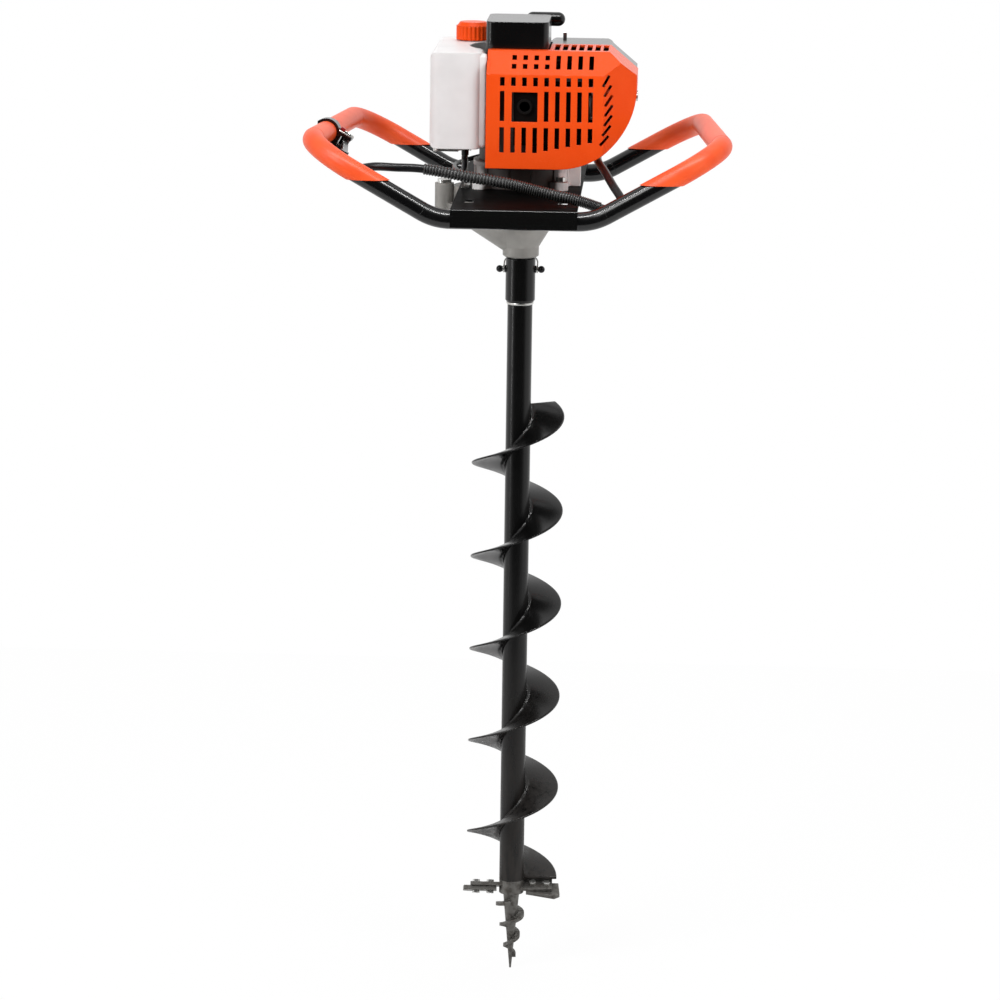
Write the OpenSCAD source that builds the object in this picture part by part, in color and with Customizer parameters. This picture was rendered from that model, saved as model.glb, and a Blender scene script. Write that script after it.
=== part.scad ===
// Two-stroke earth auger: engine on a two-hand tube frame, reduction gear case, pinned bit.
// Millimetres. Origin at the tip of the point on the bit axis, +Z up, +X to the right handle,
// -Y to the side with the slotted cowl.

/* [Bit] */
// Length of the bit from its tip to the top of its socket
bit_length = 800; // [700:10:1000]
// Diameter of the flight
flight_d = 100; // [80:1:150]
// Rise of the flight in one turn
flight_pitch = 104; // [85:1:120]
// Thickness of the flight
flight_t = 4; // [3:0.5:6]
// Diameter of the bit tube
stem_d = 27; // [25:0.5:30]

/* [Frame] */
// Width over both handle loops at the front
frame_width = 446; // [440:2:480]
// Distance between the front and rear rails
rail_spacing = 382; // [376:2:400]
// Diameter of the bent handle tube
rail_d = 20; // [19:0.5:21]
// Slope of the handle arms in degrees
arm_slope = 29.5; // [28:0.5:31]
// Lean of the loop ends in plan, which makes the frame narrower at the rear
loop_lean = 4.4; // [3:0.2:5]
// Width of the base plate
plate_width = 131; // [130:1:140]

/* [Engine covers] */
// Depth of the slotted cowl in front of the crankshaft
cowl_depth = 97; // [97:1:105]
// Width of one cowl slot
slot_w = 4.7; // [3.5:0.1:6]
// Depth of the fuel tank
tank_depth = 170; // [160:1:190]
// Diameter of the fuel cap
cap_d = 36; // [34:1:38]

/* [Hidden] */
$fn = 64;

// Levels from the tip upwards
case_z = bit_length + 1;
split_z = case_z + 53;
rail_z = case_z + 76 - rail_d / 2;
plate_z = case_z + 76;
plate_t = 2;
deck_z = plate_z + plate_t;
engine_z = deck_z + 27;
crank_z = engine_z + 39;
case_top_z = engine_z + 78;

// Bit
running_gap = 0.05;
stem_wall = 2.5;
stem_r = stem_d / 2;
socket_r = stem_r + 2.5;
socket_length = 49;
shaft_r = 10;
pin_r = 4;
pin_z = bit_length - 13;
cutter_z = 88;
flight_start_z = 103;
flight_turns = (bit_length - 167 - flight_start_z) / flight_pitch;
flight_steps = 28;
blade_tilt = 22;

// Handle frame
function hundredth(v) = round(v * 100) / 100;
rail_r = rail_d / 2;
rail_wall = 2;
coat_t = 1.2;
grip_z = rail_z + 34;
dip_tilt = 1.6;
bend_r = 60;
corner_r = 54;
rail_y = rail_spacing / 2;
bend_reach = bend_r * tan(arm_slope / 2);
arm_vertex_x = plate_width / 2 + 16;
straight_x = hundredth(arm_vertex_x - bend_reach);
loop_x = hundredth(straight_x + bend_r * sin(arm_slope));
loop_z = hundredth(rail_z + bend_r * (1 - cos(arm_slope)));
end_x = frame_width / 2 - rail_r - coat_t;
loop_length = hundredth((end_x - loop_x) / cos(arm_slope));
bar_lap = 1;
lap_step = 0.2;
function corner_reach(turn) = corner_r * tan(turn / 2);
end_length = hundredth(
    loop_length - corner_r + corner_reach(90 + loop_lean) - rail_y * tan(loop_lean));
function arm_length(side, lean) =
    hundredth(end_length - side * rail_y * tan(lean) - corner_reach(90 - side * lean));

// Reduction gears: two stages on one centre distance
gear_spacing = 36;
pressure_angle = 25;
input_teeth = 10;
idler_teeth = 62;
pinion_teeth = 10;
output_teeth = 50;
input_module = 2 * gear_spacing / (input_teeth + idler_teeth);
output_module = 2 * gear_spacing / (pinion_teeth + output_teeth);
output_gear_z = case_z + 41;
output_gear_t = 10;
idler_gear_z = split_z + 2.5;
idler_gear_t = 8;
layshaft_r = 3;
case_r = 37;
case_flange_r = 44.5;
case_screw_r = 40.7;
filler_x = -83;
filler_z = split_z + 25;
filler_r = 10.2;

// Engine
clutch_r = 52;
clutch_wall = 6;
drum_r = 39;
drum_shaft_r = 6;
drum_z = deck_z + 5;
lug_spot = 43;
crankcase_r = 46;
crank_r = 7.5;
web_r = 30;
flywheel_r = 45;
flywheel_z = case_top_z + 2;
post_x = 34;
post_y = 37;
starter_z = case_top_z + 28;
starter_top_z = starter_z + 45;
reel_z = starter_top_z - 17;
rope_x = 21;
rope_z = reel_z + 5.5;
rope_r = 2;

// Cowl and rear shroud share one side outline
cowl_left = -35;
cowl_right = 122;
cowl_low = engine_z + 2;
cowl_top = engine_z + 123;
nose_r = 82;
nose_x = cowl_right - nose_r;
nose_z = cowl_low + nose_r;
shell_t = 2.5;
split_y = 10;
shroud_back = 62;
slot_pitch = 11.56;
slot_count = 9;
slot_left = -18.1;

// Tank
tank_left = -95;
tank_right = -38.5;
tank_low = engine_z + 20;
tank_top = engine_z + 121;
tank_wall = 2.5;
tank_recess = 57;
tank_edge_r = 6;
neck_x = -57;
neck_y = tank_depth / 2 - 33;

// Intake
port_x = 62;
head_x = 88.6;
cowl_boss_z = engine_z + 73;
cowl_boss_y = [-34, -14];
screw_seat_x = 120.6;
plug_z = crank_z + 22;
carb_y = 66;
filter_y = carb_y + 26;
filter_left = 24;
filter_width = 70;
filter_low = engine_z + 29;
filter_high = engine_z + 118;

// Throttle control on the left loop, along the loop end
control_y = -45;
control_seat = rail_r + coat_t + lap_step;
control_r = control_seat + 3;
clip_reach = 9;
lever_length = 80;

// Throttle cable from the lever to the carburettor
cable_r = 4.4;
cable_end_x = end_x - 18.3;
cable_end_z = hundredth(loop_z + (cable_end_x - loop_x) * tan(arm_slope) - 10.87);
cable_route = [
    [-cable_end_x, -54.6, cable_end_z],
    [-cable_end_x + 0.1, -66.1, cable_end_z - 0.1],
    [-cable_end_x + 5.5, -104, cable_end_z - 3.5],
    [-cable_end_x + 15.5, -133, cable_end_z - 8.5],
    [-cable_end_x + 29.5, -156, cable_end_z - 6.5],
    [-cable_end_x * 0.75, -168, cable_end_z - 2.5],
    [-cable_end_x * 0.64, -172, rail_z + 50],
    [-cable_end_x * 0.49, -172, rail_z + 49],
    [-cable_end_x * 0.26, -172, rail_z + 42],
    [-5, -172, rail_z + 35],
    [29, -172, rail_z + 27],
    [66, -172, rail_z + 19],
    [88, -171, rail_z + 12],
    [101, -167, rail_z + 9],
    [109, -157, rail_z + 11],
    [109, -144, rail_z + 18],
    [100, -125, rail_z + 29],
    [91, -96, rail_z + 39],
    [83, -60, rail_z + 45],
    [81, -20, rail_z + 46],
    [81, 52, rail_z + 46],
    [81, 72, rail_z + 52],
    [81, 79, rail_z + 64],
    [81, 79, rail_z + 73]
];
conduit_from = 7;
conduit_to = 12;
ribs_per_span = 14;

// Names of the parts

// Ring outline of a tube
module ring(outer, inner) {
    difference() {
        circle(r = outer);
        circle(r = inner);
    }
}

// Straight tube along X from the origin
module tube_x(length, outer, inner) {
    rotate([0, 90, 0])
        linear_extrude(length)
            ring(outer, inner);
}

// Rod along X from the origin
module rod_x(length, radius) {
    rotate([0, 90, 0])
        cylinder(h = length, r = radius);
}

// Rod along Y from the origin
module rod_y(length, radius) {
    rotate([-90, 0, 0])
        cylinder(h = length, r = radius);
}

// Long-holed outline over the two shaft centres of the gear case
module two_centres(radius) {
    circle(r = radius);
    translate([-gear_spacing, 0])
        circle(r = radius);
    translate([-gear_spacing, -radius])
        square([gear_spacing, 2 * radius]);
}

// Rectangle with rounded corners, lower left corner at the origin
module rounded(width, height, radius) {
    translate([radius, 0])
        square([width - 2 * radius, height]);
    translate([0, radius])
        square([width, height - 2 * radius]);
    for (x = [radius, width - radius], y = [radius, height - radius])
        translate([x, y])
            circle(r = radius);
}

// Draws an outline given in X and Z as a prism from y0 to y1
module along_y(y0, y1) {
    translate([0, y1, 0])
        rotate([90, 0, 0])
            linear_extrude(y1 - y0)
                children();
}

// Involute outline of a stub-toothed gear, one tooth centred on the X axis
function involute(a) = tan(a) * 180 / PI - a;
function half_tooth(teeth, r, at) =
    90 / teeth - 0.1 * 180 / PI / r + involute(pressure_angle)
    - involute(acos(min(1, r * cos(pressure_angle) / at)));
function polar(r, a) = [r * cos(a), r * sin(a)];
module gear_outline(teeth, module_size) {
    r = teeth * module_size / 2;
    base = r * cos(pressure_angle);
    root = r - module_size;
    foot = max(base, root);
    tip = r + 0.8 * module_size;
    flank = [for (i = [0:3]) foot + (tip - foot) * i / 3];
    polygon([
        for (k = [0:teeth - 1])
            let (turn = k * 360 / teeth)
                each concat(
                    [polar(root, turn - half_tooth(teeth, r, foot))],
                    [for (at = flank) polar(at, turn - half_tooth(teeth, r, at))],
                    [for (i = [3:-1:0]) polar(flank[i], turn + half_tooth(teeth, r, flank[i]))],
                    [polar(root, turn + half_tooth(teeth, r, foot))]
                )
    ]);
}

// Ball bearing about Z for a turning shaft: two races and a closed ball ring between them
module bearing(shaft, outer, width) {
    bore = shaft + running_gap;
    wall = (outer - bore) / 3;
    linear_extrude(width)
        ring(outer, outer - wall);
    linear_extrude(width)
        ring(bore + wall, bore);
    translate([0, 0, width / 4])
        linear_extrude(width / 2)
            ring(outer - wall, bore + wall);
}

// Smooth curve through the points of a route
function smooth(a, b, c, d, t) =
    (2 * b + (c - a) * t + (2 * a - 5 * b + 4 * c - d) * t * t
     + (3 * b - a - 3 * c + d) * t * t * t) / 2;
function curve(route, from, to, per) = [
    for (i = [from:to - 1], k = [0:per - 1]) smooth(
        route[max(i - 1, 0)], route[i], route[i + 1], route[min(i + 2, len(route) - 1)], k / per),
    route[to]
];
function unit(v) = v / norm(v);
function heading(path, i) = unit(path[min(i + 1, len(path) - 1)] - path[max(i - 1, 0)]);
function ring_points(path, i, radius, sides) =
    let (ahead = heading(path, i), side = unit(cross(ahead, [0, 0, 1])), up = cross(side, ahead))
        [for (k = [0:sides - 1])
            path[i] + radius * (side * cos(k * 360 / sides) + up * sin(k * 360 / sides))];
function wall_faces(rings, sides, first, turned) = [
    for (i = [0:rings - 2], k = [0:sides - 1])
        let (a = first + i * sides + k, b = first + i * sides + (k + 1) % sides)
            each turned
                ? [[a, b, b + sides], [a, b + sides, a + sides]]
                : [[a, b + sides, b], [a, a + sides, b + sides]]
];

// Round cord along a path
module cord(path, radius, sides) {
    rings = len(path);
    points = [for (i = [0:rings - 1]) each ring_points(path, i, radius, sides)];
    last = (rings - 1) * sides;
    polyhedron(points, concat(
        wall_faces(rings, sides, 0, true),
        [[for (k = [sides - 1:-1:0]) k]],
        [[for (k = [0:sides - 1]) last + k]]
    ));
}

// Hollow ribbed hose along a path: every second ring is a crest
module ribbed_hose(path, crest, valley, bore, sides) {
    rings = len(path);
    outer = [for (i = [0:rings - 1]) each ring_points(path, i, i % 2 == 1 ? crest : valley, sides)];
    inner = [for (i = [0:rings - 1]) each ring_points(path, i, bore, sides)];
    first = rings * sides;
    last = (rings - 1) * sides;
    polyhedron(concat(outer, inner), concat(
        wall_faces(rings, sides, 0, true),
        wall_faces(rings, sides, first, false),
        [for (k = [0:sides - 1])
            let (n = (k + 1) % sides)
                each [[k, first + n, n], [k, first + k, first + n]]],
        [for (k = [0:sides - 1])
            let (n = (k + 1) % sides)
                each [[last + k, last + n, first + last + n],
                      [last + k, first + last + n, first + last + k]]]
    ));
}

// Bent rail: straight middle and an upward bend at both ends
module bent_rail(y) {
    translate([0, y, rail_z]) {
        translate([-straight_x, 0, 0])
            tube_x(2 * straight_x, rail_r, rail_r - rail_wall);
        for (turn = [0, 180])
            rotate([0, 0, turn])
                translate([straight_x, 0, bend_r])
                    rotate([90, 0, 0])
                        rotate([0, 0, -90])
                            rotate_extrude(angle = arm_slope)
                                translate([bend_r, 0])
                                    ring(rail_r, rail_r - rail_wall);
    }
}

// Sloping hand loop as a round bar, drawn for the right side, its arms begun a little early.
// A positive lean makes the rear arm the shorter one. The end bar is wider and laps the corners.
module loop_bar(radius, lean, early) {
    bar = 2 * rail_y / cos(lean) - corner_reach(90 + lean) - corner_reach(90 - lean);
    translate([loop_x, 0, loop_z])
        rotate([0, -arm_slope, 0]) {
            for (side = [-1, 1])
                rotate([side > 0 ? 180 : 0, 0, 0]) {
                    translate([-early, -rail_y, 0])
                        rod_x(arm_length(side, lean) + early, radius);
                    translate([arm_length(side, lean), corner_r - rail_y, 0])
                        rotate([0, 0, -90])
                            rotate_extrude(angle = 90 - side * lean)
                                translate([corner_r, 0])
                                    circle(r = radius);
                }
            translate([arm_length(-1, lean), corner_r - rail_y, 0])
                rotate([0, 0, lean])
                    translate([corner_r, -bar_lap, 0])
                        rod_y(bar + 2 * bar_lap, radius + lap_step);
        }
}

// Hand loop as a tube
module hand_loop(lean) {
    difference() {
        loop_bar(rail_r, lean, 0);
        loop_bar(rail_r - rail_wall, lean, 1);
    }
}

// Dipped coat on the upper part of a hand loop
module dipped_grip(lean) {
    difference() {
        loop_bar(rail_r + coat_t, lean, 0);
        loop_bar(rail_r, lean, 1);
        translate([0, 0, grip_z])
            rotate([-sign(lean) * dip_tilt, 0, 0])
                translate([0, -rail_spacing, -100])
                    cube([frame_width, 2 * rail_spacing, 100]);
    }
}

// Black tube under the front edge of the plate
module front_rail() {
    color("black")
        bent_rail(-rail_y);
}

// Black tube under the rear edge of the plate
module rear_rail() {
    color("black")
        bent_rail(rail_y);
}

// Left hand loop, welded to both rails
module left_loop() {
    color("black")
        rotate([0, 0, 180])
            hand_loop(-loop_lean);
}

// Right hand loop, welded to both rails
module right_loop() {
    color("black")
        hand_loop(loop_lean);
}

// Orange coat of the left loop
module left_grip() {
    color("orangered")
        rotate([0, 0, 180])
            dipped_grip(-loop_lean);
}

// Orange coat of the right loop
module right_grip() {
    color("orangered")
        dipped_grip(loop_lean);
}

// Folded sheet over both rails, carries the engine above and the gear case below
module base_plate() {
    half = rail_y + rail_r;
    color("black")
        difference() {
            translate([-plate_width / 2, 0, 0])
                rotate([90, 0, 90])
                    linear_extrude(plate_width) {
                        translate([-half, plate_z])
                            square([2 * half, plate_t]);
                        for (side = [-1, 1]) {
                            translate([side * half, plate_z])
                                circle(r = plate_t);
                            translate([side * (half + plate_t / 2) - plate_t / 2, plate_z - 17])
                                square([plate_t, 17]);
                        }
                    }
            translate([-plate_width, -half, plate_z - rail_r])
                cube([2 * plate_width, 2 * half, rail_r]);
            translate([0, 0, plate_z - 1])
                cylinder(h = plate_t + 2, r = 16);
            for (x = [-lug_spot, lug_spot], y = [-lug_spot, lug_spot])
                translate([x, y, plate_z - 1])
                    cylinder(h = plate_t + 2, r = 3.2);
            for (x = [-49, 49], y = [-141, 141])
                translate([x - 5, y - 10, plate_z - 1])
                    linear_extrude(plate_t + 2)
                        rounded(10, 20, 3);
        }
}

// Cast lower half of the reduction case: nose, funnel, layshaft wing and foot of the oil filler
module gear_case() {
    color("silver")
        difference() {
            union() {
                translate([0, 0, case_z])
                    cylinder(h = 1.5, r1 = 17.5, r2 = 19.5);
                translate([0, 0, case_z + 1.5])
                    cylinder(h = 9.5, r = 19.5);
                translate([0, 0, case_z + 11])
                    cylinder(h = 29, r1 = 19.5, r2 = case_r);
                hull() {
                    translate([-10, 0, case_z + 6])
                        cylinder(h = 1, r = 9, $fn = 32);
                    translate([-gear_spacing, 0, case_z + 41])
                        cylinder(h = 1, r = case_r, $fn = 32);
                    translate([0, 0, case_z + 41])
                        cylinder(h = 1, r = 24, $fn = 32);
                }
                translate([0, 0, case_z + 40])
                    linear_extrude(split_z - case_z - 40)
                        two_centres(case_r);
                translate([0, 0, split_z - 5])
                    linear_extrude(5)
                        two_centres(case_flange_r);
                translate([filler_x, 0, case_z + 33])
                    cylinder(h = split_z - case_z - 33, r = filler_r);
            }
            translate([0, 0, case_z - 1])
                cylinder(h = 9, r = 15);
            translate([0, 0, case_z])
                cylinder(h = 40, r = 11.5);
            translate([0, 0, case_z + 12])
                cylinder(h = 7, r = 16);
            translate([0, 0, case_z + 26])
                cylinder(h = 30, r = 21);
            translate([0, 0, case_z + 39])
                linear_extrude(20)
                    two_centres(case_r - 4);
            translate([-gear_spacing, 0, case_z + 33])
                cylinder(h = 10, r = 9.5);
            translate([filler_x, 0, split_z - 8])
                cylinder(h = 10, r = 5);
            translate([filler_x, 0, split_z - 4.5])
                rod_x(20, 3);
            case_screw_places()
                translate([0, 0, split_z - 6])
                    cylinder(h = 10, r = 2);
        }
}

// Places of the screws round the flange of the case
module case_screw_places() {
    for (a = [-70, 0, 70])
        rotate([0, 0, a])
            translate([case_screw_r, 0, 0])
                children();
    for (a = [110, 152, 208, 250])
        translate([-gear_spacing, 0, 0])
            rotate([0, 0, a])
                translate([case_screw_r, 0, 0])
                    children();
}

// Cast upper half of the reduction case, flat against the base plate, with the oil filler beside it
module gear_cover() {
    color("silver")
        difference() {
            union() {
                translate([0, 0, split_z])
                    linear_extrude(5)
                        two_centres(case_flange_r);
                translate([0, 0, split_z])
                    linear_extrude(plate_z - split_z)
                        two_centres(case_r);
                for (x = [-lug_spot, lug_spot], y = [-lug_spot, lug_spot])
                    translate([x, y, plate_z - 6])
                        cylinder(h = 6, r = 8);
                translate([-lug_spot, -lug_spot - 5, plate_z - 6])
                    cube([10, 2 * lug_spot + 10, 6]);
                translate([18, -lug_spot - 5, plate_z - 6])
                    cube([lug_spot - 18, 2 * lug_spot + 10, 6]);
                translate([filler_x, 0, split_z])
                    cylinder(h = filler_z - split_z, r = filler_r);
            }
            translate([filler_x, 0, split_z - 1])
                cylinder(h = filler_z - split_z + 2, r = 5);
            for (x = [-lug_spot, lug_spot], y = [-lug_spot, lug_spot])
                translate([x, y, plate_z - 7])
                    cylinder(h = 9, r = 3.2);
            translate([0, 0, split_z - 1])
                linear_extrude(12)
                    two_centres(case_r - 4);
            translate([0, 0, split_z])
                cylinder(h = 30, r = 14);
            translate([-gear_spacing, 0, split_z])
                cylinder(h = 16, r = 9.5);
            case_screw_places()
                translate([0, 0, split_z - 1])
                    cylinder(h = 10, r = 2);
        }
}

// Screws that clamp the two halves of the case, heads below
module case_screws() {
    color("dimgray")
        case_screw_places() {
            translate([0, 0, split_z - 5])
                cylinder(h = 10, r = 2);
            translate([0, 0, split_z - 9])
                difference() {
                    cylinder(h = 4, r = 3.5);
                    translate([0, 0, -1])
                        cylinder(h = 3, r = 1.8, $fn = 6);
                }
        }
}

// Slotted plug of the oil filler
module oil_plug() {
    color("dimgray")
        translate([filler_x, 0, filler_z])
            difference() {
                union() {
                    translate([0, 0, -7])
                        cylinder(h = 7, r = 5);
                    cylinder(h = 4, r = 7.5);
                }
                translate([-8, -0.8, 2])
                    cube([16, 1.6, 3]);
            }
}

// Lip seal under the lower bearing of the output shaft
module shaft_seal() {
    color("black")
        translate([0, 0, case_z + 1])
            linear_extrude(6)
                ring(15, shaft_r + 0.3);
}

// Ball bearings of the output shaft, the layshaft, the clutch drum and the crankshaft
module ball_bearings() {
    color("silver") {
        translate([0, 0, case_z + 12])
            bearing(shaft_r, 16, 7);
        translate([0, 0, case_z + 26])
            bearing(shaft_r, 21, 12);
        translate([-gear_spacing, 0, case_z + 33])
            bearing(layshaft_r, 9.5, 6);
        translate([-gear_spacing, 0, split_z + 11])
            bearing(layshaft_r, 9.5, 5);
        translate([0, 0, split_z + 11])
            bearing(drum_shaft_r, 14, 8);
        translate([0, 0, engine_z + 5])
            bearing(crank_r, 17.5, 11);
        translate([0, 0, crank_z + 23])
            bearing(crank_r, 17.5, 11);
    }
}

// Ribbed casting round the clutch with a stout leg at the right, bolted through the base plate
module clutch_housing() {
    color("gray")
        difference() {
            union() {
                translate([0, 0, deck_z])
                    cylinder(h = engine_z - deck_z, r = clutch_r - 1.5);
                translate([0, 0, engine_z - 5])
                    cylinder(h = 5, r = clutch_r);
                translate([0, 0, deck_z])
                    cylinder(h = 4, r = clutch_r);
                for (a = [15:30:345])
                    rotate([0, 0, a])
                        translate([clutch_r - 4, -1.5, deck_z])
                            cube([4, 3, engine_z - deck_z]);
                for (a = [45:90:315])
                    rotate([0, 0, a]) {
                        translate([lug_spot * sqrt(2), 0, deck_z])
                            cylinder(h = 9, r = 8);
                        translate([clutch_r - 4, -8, deck_z])
                            cube([lug_spot * sqrt(2) - clutch_r + 4, 16, 9]);
                    }
                translate([clutch_r - 4, -7, deck_z])
                    cube([15, 14, engine_z - deck_z]);
            }
            translate([0, 0, deck_z - 1])
                cylinder(h = engine_z - deck_z - 3, r = clutch_r - clutch_wall);
            translate([0, 0, deck_z])
                cylinder(h = 60, r = 20);
            for (x = [-lug_spot, lug_spot], y = [-lug_spot, lug_spot])
                translate([x, y, deck_z - 1])
                    cylinder(h = 12, r = 3.2);
        }
}

// Four bolts with nuts that hold the clutch housing to the plate
module frame_bolts() {
    color("gainsboro")
        for (x = [-lug_spot, lug_spot], y = [-lug_spot, lug_spot])
            translate([x, y, 0]) {
                translate([0, 0, plate_z - 13])
                    cylinder(h = plate_t + 22, r = 3);
                translate([0, 0, deck_z + 9])
                    cylinder(h = 5, r = 5, $fn = 6);
                translate([0, 0, plate_z - 11])
                    cylinder(h = 5, r = 5, $fn = 6);
            }
}

// Lower half of the crankcase with its bearing seat
module lower_crankcase() {
    color("gray")
        difference() {
            union() {
                translate([0, 0, engine_z])
                    cylinder(h = 39, r = crankcase_r);
                translate([0, 0, engine_z - 4])
                    cylinder(h = 4, r = 19.7);
                translate([20, -32, engine_z + 11])
                    cube([28, 64, 28]);
            }
            translate([0, 0, engine_z - 5])
                cylinder(h = 40, r = 9);
            translate([0, 0, engine_z + 5])
                cylinder(h = 11, r = 17.5);
            translate([0, 0, engine_z + 16])
                cylinder(h = 30, r = web_r + 3);
        }
}

// Upper half of the crankcase with the lugs of the starter
module upper_crankcase() {
    color("gray")
        difference() {
            union() {
                translate([0, 0, crank_z])
                    cylinder(h = 39, r = crankcase_r);
                for (x = [-post_x, post_x], y = [-post_y, post_y])
                    translate([x, y, case_top_z - 22])
                        cylinder(h = 22, r = 6);
                translate([20, -32, crank_z])
                    cube([28, 64, 28]);
            }
            translate([0, 0, crank_z])
                cylinder(h = 50, r = 9);
            translate([0, 0, crank_z - 1])
                cylinder(h = 24, r = web_r + 3);
            translate([0, 0, crank_z + 23])
                cylinder(h = 11, r = 17.5);
        }
}

// Finned barrel and head, cut to stay clear of the covers
module cylinder_block() {
    intersection() {
        union() {
            translate([48, 0, crank_z])
                rod_x(head_x - 48, 30);
            for (i = [0:6])
                translate([head_x - 2.4 - i * 6.2, -40, crank_z - 40])
                    rotate([90, 0, 90])
                        linear_extrude(2.4)
                            rounded(80, 80, 12);
            translate([48, -33, crank_z - 30])
                cube([4, 66, 60]);
            translate([48, -46, crank_z - 12])
                cube([port_x - 32, 92, 24]);
            for (y = cowl_boss_y)
                translate([74, y, cowl_boss_z])
                    rod_x(head_x - 74, 5);
        }
        along_y(-60, 60)
            side_outline(7);
    }
}

// Air-cooled cylinder with ports to both sides and the plug seat at its end
module engine_cylinder() {
    color("silver")
        difference() {
            cylinder_block();
            translate([76, 0, plug_z])
                rod_x(20, 6);
            for (y = cowl_boss_y)
                translate([78, y, cowl_boss_z])
                    rod_x(20, 2.2);
            for (side = [-1, 1])
                translate([port_x, side * 46 - 8, crank_z])
                    rod_y(16, 9);
        }
}

// Spark plug in the head
module spark_plug() {
    color("gainsboro")
        translate([0, 0, plug_z]) {
            translate([77, 0, 0])
                rod_x(12, 5.9);
            translate([head_x, 0, 0])
                rotate([0, 90, 0])
                    cylinder(h = 7, r = 9, $fn = 6);
            translate([95, 0, 0])
                rod_x(12, 4);
        }
}

// Ignition lead from the coil with the rubber boot on the plug
module plug_lead() {
    color("black") {
        translate([0, 0, plug_z])
            difference() {
                union() {
                    translate([97, 0, 0])
                        rod_x(15, 7);
                    translate([105, 0, 0])
                        rod_y(14, 5);
                }
                translate([96, 0, 0])
                    rod_x(11.5, 4.1);
            }
        cord(curve([
            [14, 52, crank_z + 40],
            [30, 52, crank_z + 42],
            [60, 50, crank_z + 44],
            [90, 42, crank_z + 34],
            [103, 28, crank_z + 28],
            [105, 14, plug_z + 0.5]
        ], 0, 5, 4), 2.5, 8);
    }
}

// Coil beside the rim of the flywheel
module ignition_coil() {
    color("black") {
        translate([-14, 47.5, crank_z + 25])
            cube([28, 9.5, 28]);
        translate([-9, 44, crank_z + 22])
            difference() {
                cube([18, 12, 3]);
                translate([9, -44, -1])
                    cylinder(h = 5, r = crankcase_r);
            }
    }
}

// Sheet-metal muffler with its outlet in the cowl window
module muffler() {
    outlet_z = engine_z + 67;
    color("black")
        difference() {
            union() {
                intersection() {
                    translate([-6, 6 - cowl_depth, engine_z + 26])
                        cube([78, cowl_depth - 54, 68]);
                    along_y(-150, 0)
                        side_outline(7);
                }
                translate([port_x - 14, -49, crank_z - 10])
                    cube([28, 3, 20]);
                translate([5.5, 2 - cowl_depth, outlet_z])
                    rod_y(5, 8);
            }
            translate([5.5, 1 - cowl_depth, outlet_z])
                rod_y(14, 5.5);
            intersection() {
                translate([-4.5, 7.5 - cowl_depth, engine_z + 27.5])
                    cube([75, cowl_depth - 57, 65]);
                along_y(-150, 0)
                    side_outline(8.5);
            }
        }
}

// Heat insulating block between the cylinder and the carburettor
module intake_block() {
    color("black")
        translate([port_x, 46, crank_z])
            difference() {
                translate([-15, 0, -11])
                    cube([30, carb_y - 46, 22]);
                translate([0, -1, 0])
                    rod_y(carb_y - 44, 9);
            }
}

// Diaphragm carburettor with its cable bracket
module carburettor() {
    color("silver")
        difference() {
            union() {
                translate([port_x - 14, carb_y, crank_z - 16])
                    cube([28, filter_y - carb_y, 32]);
                translate([port_x, carb_y + 13, crank_z - 20])
                    cylinder(h = 40, r = 12);
                translate([port_x + 12, carb_y + 8, crank_z - 5])
                    cube([13, 10, 7]);
            }
            translate([port_x, carb_y - 1, crank_z])
                rod_y(filter_y - carb_y + 2, 9);
            translate([port_x, carb_y + 13, crank_z - 21])
                cylinder(h = 7, r = 9.5);
        }
}

// Back plate of the air filter
module filter_base() {
    color("black")
        difference() {
            translate([filter_left, 0, filter_low])
                along_y(filter_y, filter_y + 3)
                    rounded(filter_width, filter_high - filter_low, 8);
            translate([port_x, filter_y - 1, crank_z])
                rod_y(5, 9);
            translate([filter_left + 17, filter_y - 1, filter_high - 25])
                rod_y(5, 2 + running_gap);
        }
}

// Foam element of the air filter
module filter_element() {
    color("dimgray")
        translate([filter_left + 5, 0, filter_low + 5])
            along_y(filter_y + 3, filter_y + 20)
                difference() {
                    rounded(filter_width - 10, filter_high - filter_low - 10, 6);
                    translate([filter_width / 2 - 5, filter_high - filter_low - 31])
                        circle(r = 3.2);
                    translate([12, filter_high - filter_low - 30])
                        circle(r = 4);
                }
}

// Louvred cover of the air filter
module filter_cover() {
    height = filter_high - filter_low;
    color("black")
        difference() {
            translate([filter_left, 0, filter_low])
                along_y(filter_y + 3, filter_y + 34)
                    rounded(filter_width, height, 8);
            translate([filter_left + 2, 0, filter_low + 2])
                along_y(filter_y + 2, filter_y + 31.5)
                    rounded(filter_width - 4, height - 4, 6);
            for (k = [0:4])
                translate([filter_left + 14, filter_y + 30, filter_low + 10 + k * 7])
                    cube([filter_width - 28, 6, 3]);
            translate([filter_left + filter_width / 2, filter_y + 30, filter_high - 26])
                rod_y(8, 3);
        }
}

// Screw knob of the filter cover, reaching down to the element
module cover_knob() {
    color("black")
        translate([filter_left + filter_width / 2, filter_y, filter_high - 26]) {
            translate([0, 3, 0])
                rod_y(31, 2.9);
            translate([0, 34, 0])
                rotate([-90, 0, 0])
                    linear_extrude(8)
                        difference() {
                            circle(r = 10);
                            for (a = [0:45:315])
                                rotate([0, 0, a])
                                    translate([11.5, 0])
                                        circle(r = 3);
                        }
        }
}

// Side outline of the covers in X and Z, moved inwards by an inset
module side_outline(inset) {
    difference() {
        union() {
            translate([cowl_left + inset, cowl_low + inset])
                square([nose_x - cowl_left - inset, cowl_top - cowl_low - 2 * inset]);
            translate([nose_x, nose_z])
                square([nose_r - inset, cowl_top - nose_z - inset]);
            intersection() {
                translate([nose_x, nose_z])
                    circle(r = nose_r - inset);
                translate([nose_x, nose_z - nose_r])
                    square([nose_r, nose_r]);
            }
        }
        translate([cowl_right - 29, cowl_top])
            rotate([0, 0, -40])
                translate([0, -inset])
                    square([100, 60]);
    }
}

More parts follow.
